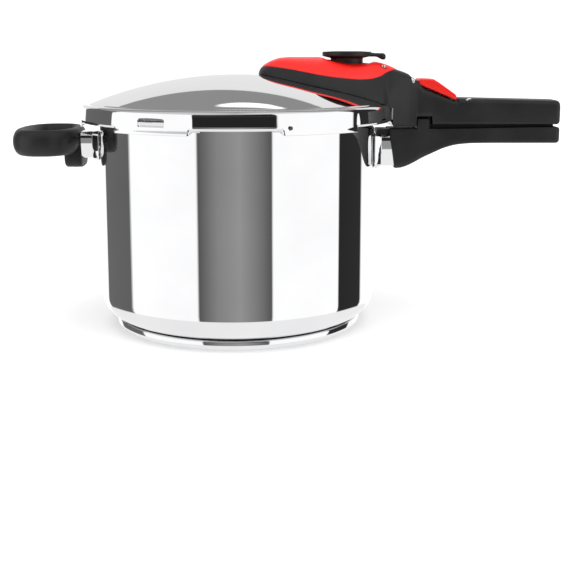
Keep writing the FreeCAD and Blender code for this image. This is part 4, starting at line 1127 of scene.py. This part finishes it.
def pin_collar():
    """Black collar round the indicator pin: a torus flattened on the cover."""
    x = PIN_HIGH[0] - 1.9
    y = (PIN_LOW[1] + PIN_HIGH[1]) / 2
    share = y / flow(x, HALF_WIDTH)
    near = skin(x, share)
    angle = full_turn(20)
    turn = full_turn(40)
    radius = 2.1 + 0.32 * np.cos(angle)
    lift = 0.4 * np.sin(angle)
    slope_x = (skin(x + 1, share) - skin(x - 1, share))[2] / 2
    slope_y = (skin(x, share + 0.03) - skin(x, share - 0.03))
    slope_y = slope_y[2] / slope_y[1]
    rings = np.zeros((len(turn), len(angle), 3))
    rings[..., 0] = x + radius[None] * np.cos(turn)[:, None]
    rings[..., 1] = y + radius[None] * np.sin(turn)[:, None]
    rings[..., 2] = near[2] + 0.3 + lift[None] + slope_x * (rings[..., 0] - x) + slope_y * (rings[..., 1] - y)
    part = Part("pin_collar")
    part.grid(rings, wrap_rows=True, wrap_columns=True)
    part.finish("lid", "black_plastic", finish_of("black_moulding"), sharp=60)


def patch(part, x, share, turned, a, b):
    """Lays a flat grid (a, b) in millimetres on the housing's skin as a thin closed sheet."""
    step = 0.01
    ahead = np.linalg.norm(skin(x + step, share) - skin(x - step, share)) / (2 * step)
    aside = np.linalg.norm(skin(x, share + step) - skin(x, share - step)) / (2 * step)
    cosine, sine = math.cos(turned), math.sin(turned)
    along = x + (a * cosine - b * sine) / ahead
    across = share + (a * sine + b * cosine) / aside
    on = skin(along, across)
    d_x = skin(along + step, across) - skin(along - step, across)
    d_s = skin(along, across + step) - skin(along, across - step)
    normal = np.cross(d_x, d_s)
    normal /= np.linalg.norm(normal, axis=-1, keepdims=True)
    shell = np.concatenate([on + normal * 0.14, (on - normal * 0.1)[::-1]])
    start = part.grid(shell, wrap_rows=True)
    rows, columns = on.shape[:2]
    i = np.arange(rows - 1)
    for column in (0, columns - 1):
        first = start + i * columns + column
        second = start + (i + 1) * columns + column
        other = start + (2 * rows - 2 - i) * columns + column
        far = start + (2 * rows - 1 - i) * columns + column
        part.faces += np.stack([first, second, other, far], 1).tolist()


def padlock(part, x, share, turned, size, opened):
    """A padlock sign: a block, and an arch of a band, swung aside when it is open."""
    a, b = np.meshgrid(np.linspace(-0.5, 0.5, 7) * size, np.linspace(-0.55, 0.15, 6) * size)
    patch(part, x, share, turned, a, b)
    swing = np.linspace(0, math.pi, 13)[:, None]
    radii = np.array([0.24, 0.38])[None] * size
    aside = 0.62 * size if opened else 0
    arch_a = radii * np.cos(swing) + aside
    arch_b = 0.16 * size + radii * np.sin(swing) * 1.25
    patch(part, x, share, turned, arch_a, arch_b)


def lock_marks():
    """Printed signs: a closed padlock on the shoulder and an open one behind the slider."""
    part = Part("lock_signs")
    padlock(part, 140.6, -0.86, math.radians(180), 3.0, False)
    padlock(part, BED_END + 9.0, -0.8, math.radians(180), 3.0, True)
    part.finish("lid", "white_print", finish_of("printed_mark"), sharp=60)


# ---------------------------------------------------------------- frame finishes and stage
def dress_frame():
    """Gives each node carried over from the frame the procedural finish of its slot."""
    for name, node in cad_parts.items():
        slot = node.data.materials[0].name if node.data.materials else ""
        known = [key for key in FRAME_FINISH if slot.startswith(key)]
        if not known:
            raise ValueError(f"{name} has no known material: {slot!r}")
        # The stop stud's steel gets the dark finish: painted shade.
        material = finish_of("painted_shade_steel" if name == "stop_stud" else FRAME_FINISH[known[0]])
        for number in range(len(node.data.materials)):
            node.data.materials[number] = material


def band(nodes, links, value, stops_):
    """A colour ramp with hard and soft steps over a value from 0 to 1."""
    ramp = nodes.new("ShaderNodeValToRGB")
    elements = ramp.color_ramp.elements
    while len(elements) > 1:
        elements.remove(elements[-1])
    for number, (at, level) in enumerate(stops_):
        element = elements[0] if number == 0 else elements.new(at)
        element.position = at
        element.color = (level, level, level, 1)
    links.new(value, ramp.inputs["Fac"])
    return ramp.outputs["Color"]


def studio_light():
    """White studio with dark flags, painted by direction: the bearing from the front gives
    the upright bands, the height gives the darker ceiling and one bright overhead patch."""
    world = bpy.data.worlds.new("studio")
    bpy.context.scene.world = world
    world.use_nodes = True
    nodes, links = world.node_tree.nodes, world.node_tree.links
    place = nodes.new("ShaderNodeTexCoord")
    split = nodes.new("ShaderNodeSeparateXYZ")
    links.new(place.outputs["Generated"], split.inputs["Vector"])

    def maths(operation, *values):
        return maths_node(nodes, links, operation, *values)

    x, y, z = split.outputs
    front = maths("MULTIPLY", y, -1.0)
    bearing = maths("ARCTAN2", x, front)
    share = maths("MULTIPLY_ADD", bearing, 1 / (2 * math.pi), 0.5)

    def at(degrees):
        return degrees / 360 + 0.5

    white = 1.14
    sides = [
        (0.0, white), (at(-139), white), (at(-138), 0.15), (at(-96), 0.13), (at(-95), white),
        (at(-31), white)]
    rest = [(at(31), white), (at(93), white), (at(94), 0.025), (at(126), 0.03), (at(127), white),
            (1.0, white)]
    walls = band(nodes, links, share, sides + [
        (at(-30), 0.10), (at(-14), 0.26), (at(4), 0.33), (at(18), 0.22), (at(30), 0.10)] + rest)
    raised = band(nodes, links, share, sides + [(at(-30), 0.02), (at(30), 0.02)] + rest)
    ceiling = band(nodes, links, share, [
        (0.0, 0.29), (at(-120), 0.34), (at(-70), 0.75), (at(0), 0.5), (at(60), 0.9), (at(110), 0.36),
        (1.0, 0.29)])
    behind = band(nodes, links, share, [
        (0.0, 1.0), (at(-139), 1.0), (at(-138), 0.0), (at(126), 0.0), (at(127), 1.0), (1.0, 1.0)])
    height = maths("ARCSINE", z)

    def step(value, first, last, kind="LINEAR"):
        """Goes from 0 to 1 as the value goes from the first to the last."""
        node = nodes.new("ShaderNodeMapRange")
        node.interpolation_type = kind
        node.inputs["From Min"].default_value = first
        node.inputs["From Max"].default_value = last
        links.new(value, node.inputs["Value"])
        return node.outputs["Result"]

    def mix(factor, first, second):
        """The first colour where the factor is 0, the second, or a plain level, where it is 1."""
        node = nodes.new("ShaderNodeMix")
        node.data_type = "RGBA"
        links.new(factor, node.inputs["Factor"])
        links.new(first, node.inputs["A"])
        if isinstance(second, float):
            node.inputs["B"].default_value = (second, second, second, 1)
        else:
            links.new(second, node.inputs["B"])
        return node.outputs["Result"]

    light = mix(step(height, math.radians(-20.0), math.radians(-22.0)), walls, 0.95)
    light = mix(step(height, math.radians(2.0), math.radians(3.0)), light, raised)
    backdrop = maths("MULTIPLY", behind, step(height, math.radians(6.2), math.radians(8.0)))
    light = mix(backdrop, light, 0.86)
    sideways = maths("MAXIMUM", maths("MINIMUM", x, 0.3), -0.3)
    tilted = maths("MULTIPLY_ADD", sideways, -0.38, height)
    light = mix(step(tilted, math.radians(32.0), math.radians(32.8), "SMOOTHSTEP"), light, ceiling)
    # Overhead patch: an ellipse of bearing and height round the back.
    turn = maths("MULTIPLY", maths("SUBTRACT", math.pi, maths("ABSOLUTE", bearing)), 1 / math.radians(7.3))
    tilt = maths("MULTIPLY", maths("SUBTRACT", height, math.radians(43.0)), 1 / math.radians(1.6))
    far = maths("SQRT", maths("ADD", maths("MULTIPLY", turn, turn), maths("MULTIPLY", tilt, tilt)))
    light = mix(step(far, 1.1, 0.9), light, 1.3)
    background = nodes["Background"]
    links.new(light, background.inputs["Color"])
    background.inputs["Strength"].default_value = 1.0


def floor_disc():
    """Plain pale floor: a flat disc, hidden from mirror rays so that walls stay upright in them. Its emission
    is painted light: the floor glows, weakly near the pot and more strongly further out, so that it fades
    into the white backdrop.
    """
    rim = full_turn(96)
    rings = np.array([0.0, 400.0, 1500.0, 8000.0])
    points = np.zeros((4, 96, 3))
    points[..., 0] = rings[:, None] * np.cos(rim)
    points[..., 1] = rings[:, None] * np.sin(rim)
    points[..., 2] = -0.05
    mesh = bpy.data.meshes.new("floor")
    faces = grid_faces(4, 96, False, True, 0).tolist()
    mesh.from_pydata((points.reshape(-1, 3) * MM).tolist(), [], faces)
    edit = bmesh.new()
    edit.from_mesh(mesh)
    bmesh.ops.remove_doubles(edit, verts=edit.verts, dist=1e-6)
    bmesh.ops.recalc_face_normals(edit, faces=edit.faces)
    edit.to_mesh(mesh)
    edit.free()
    floor = bpy.data.objects.new("floor", mesh)
    bpy.context.scene.collection.objects.link(floor)
    floor.visible_glossy = False
    finish = Finish("pale_floor").set(Specular_IOR_Level=0.0, Emission_Color=(1, 1, 1, 1))
    cloud = finish.noise(finish.place, 2.5, 2.0)
    split = finish.nodes.new("ShaderNodeSeparateXYZ")
    finish.links.new(finish.polar(1.0, 1.0, 1.0), split.inputs["Vector"])
    # Painted light: the floor glows as if lit, its emission rising from 0.22 near the pot to 0.75 about two
    # metres out.
    painted_floor_glow = finish.span(split.outputs["Y"], 0.22, 0.75, 0.5, 2.2)
    finish.links.new(painted_floor_glow, finish.shader.inputs["Emission Strength"])
    finish.tint(cloud, (0.86, 0.86, 0.86), (0.9, 0.9, 0.9))
    finish.rough(cloud, 0.75, 0.9)
    mesh.materials.append(finish.material)


def area_light(name, place, turn, size, watts):
    """A rectangular lamp that mirror rays do not see."""
    light = bpy.data.lights.new(name, "AREA")
    light.shape = "RECTANGLE"
    light.size, light.size_y = size
    light.energy = watts
    lamp = bpy.data.objects.new(name, light)
    lamp.location = place
    lamp.rotation_euler = Euler([math.radians(angle) for angle in turn])
    lamp.visible_glossy = False
    bpy.context.scene.collection.objects.link(lamp)


def stage():
    """Floor, lights and the camera, which looks along y from a little above the lid."""
    scene = bpy.context.scene
    studio_light()
    floor_disc()
    area_light("overhead", (0.1, -0.2, 1.5), (0, 0, 0), (2.4, 2.0), 30.0)
    sizes = scene.cooker_stage
    eye = bpy.data.cameras.new("camera")
    eye.lens = sizes.lens
    eye.sensor_width = 36.0
    eye.shift_y = -0.159
    camera = bpy.data.objects.new("camera", eye)
    camera.location = (sizes.camera_side, -sizes.camera_back, sizes.camera_height)
    camera.rotation_euler = (math.pi / 2 - sizes.camera_pitch, 0, 0)
    scene.collection.objects.link(camera)
    scene.camera = camera
    scene.view_settings.view_transform = "Standard"


# ---------------------------------------------------------------- add-on
class BuildStep:
    """Shared by every step: it can be undone, and a failure inside it is raised."""

    bl_options = {"REGISTER", "UNDO"}

    def execute(self, context):
        type(self).build()
        return {"FINISHED"}


class COOKER_OT_pot(BuildStep, bpy.types.Operator):
    """Draws the pot's wall and its rim with bayonet lugs"""

    bl_idname = "cooker.pot"
    bl_label = "Pot wall"
    build = staticmethod(pot_body)


class COOKER_OT_base(BuildStep, bpy.types.Operator):
    """Presses the cup round the sandwich base"""

    bl_idname = "cooker.base"
    bl_label = "Base cup"
    build = staticmethod(base)


class COOKER_OT_lid(BuildStep, bpy.types.Operator):
    """Presses the lid with its window and folded lugs"""

    bl_idname = "cooker.lid"
    bl_label = "Lid"
    build = staticmethod(lid)


class COOKER_OT_housing(BuildStep, bpy.types.Operator):
    """Moulds the black housing and upper grip"""

    bl_idname = "cooker.housing"
    bl_label = "Lid handle housing"
    build = staticmethod(housing)


class COOKER_OT_cover(BuildStep, bpy.types.Operator):
    """Moulds the red cover inside its seam"""

    bl_idname = "cooker.cover"
    bl_label = "Red cover"
    build = staticmethod(cover)


class COOKER_OT_slider(BuildStep, bpy.types.Operator):
    """Moulds the lock slider on its bed"""

    bl_idname = "cooker.slider"
    bl_label = "Lock slider"
    build = staticmethod(slider)


class COOKER_OT_lower_grip(BuildStep, bpy.types.Operator):
    """Moulds the long handle of the pot"""

    bl_idname = "cooker.lower_grip"
    bl_label = "Pot handle"
    build = staticmethod(lower_grip)


class COOKER_OT_loop_handle(BuildStep, bpy.types.Operator):
    """Moulds the looped side handle"""

    bl_idname = "cooker.loop_handle"
    bl_label = "Side handle"
    build = staticmethod(loop_handle)


class COOKER_OT_guards(BuildStep, bpy.types.Operator):
    """Presses the two bright guards between wall and handles"""

    bl_idname = "cooker.guards"
    bl_label = "Guards"

    @staticmethod
    def build():
        guard("long_guard", "long_handle_guard", "long_handle_bracket", 1, 4.5, 0.0)
        guard("side_guard", "side_handle_guard", "side_handle_bracket", -1, 0.0, 4.5)


class COOKER_OT_knob(BuildStep, bpy.types.Operator):
    """Turns the pressure knob and its lever"""

    bl_idname = "cooker.knob"
    bl_label = "Pressure knob"
    build = staticmethod(knob)


class COOKER_OT_pin_collar(BuildStep, bpy.types.Operator):
    """Adds the collar round the pressure indicator"""

    bl_idname = "cooker.pin_collar"
    bl_label = "Indicator collar"
    build = staticmethod(pin_collar)


class COOKER_OT_lock_marks(BuildStep, bpy.types.Operator):
    """Prints the open and closed padlock signs"""

    bl_idname = "cooker.lock_marks"
    bl_label = "Lock signs"
    build = staticmethod(lock_marks)


class COOKER_OT_frame(BuildStep, bpy.types.Operator):
    """Gives the carried-over fittings their finishes"""

    bl_idname = "cooker.frame_finishes"
    bl_label = "Fitting finishes"
    build = staticmethod(dress_frame)


class COOKER_OT_stage(BuildStep, bpy.types.Operator):
    """Sets the floor, the studio light and the camera"""

    bl_idname = "cooker.stage"
    bl_label = "Stage"
    build = staticmethod(stage)


STEPS = (
    COOKER_OT_frame, COOKER_OT_pot, COOKER_OT_base, COOKER_OT_lid, COOKER_OT_housing, COOKER_OT_cover,
    COOKER_OT_slider, COOKER_OT_lower_grip, COOKER_OT_loop_handle, COOKER_OT_guards, COOKER_OT_knob,
    COOKER_OT_pin_collar, COOKER_OT_lock_marks, COOKER_OT_stage,
)
GROUPS = {
    "cooker_pot": PotSizes,
    "cooker_lid": LidSizes,
    "cooker_colours": FinishColours,
    "cooker_stage": StageSizes,
}


class COOKER_PT_panel(bpy.types.Panel):
    """Lists the building steps and their sizes"""

    bl_label = "Pressure cooker"
    bl_idname = "COOKER_PT_panel"
    bl_space_type = "VIEW_3D"
    bl_region_type = "UI"
    bl_category = "Cooker"

    def draw(self, context):
        for step in STEPS:
            self.layout.operator(step.bl_idname)
        for name, group in GROUPS.items():
            box = self.layout.box()
            box.label(text=group.bl_rna.name)
            for key in group.__annotations__:
                box.prop(getattr(context.scene, name), key)


def register():
    for group in GROUPS.values():
        bpy.utils.register_class(group)
    for step in (*STEPS, COOKER_PT_panel):
        bpy.utils.register_class(step)
    for name, group in GROUPS.items():
        setattr(bpy.types.Scene, name, PointerProperty(type=group))


def unregister():
    for name in GROUPS:
        delattr(bpy.types.Scene, name)
    for step in (COOKER_PT_panel, *reversed(STEPS)):
        bpy.utils.unregister_class(step)
    for group in reversed(list(GROUPS.values())):
        bpy.utils.unregister_class(group)


def main():
    register()
    for step in STEPS:
        family, name = step.bl_idname.split(".")
        getattr(getattr(bpy.ops, family), name)()
    bpy.context.view_layer.update()


if __name__ == "__main__":
    main()
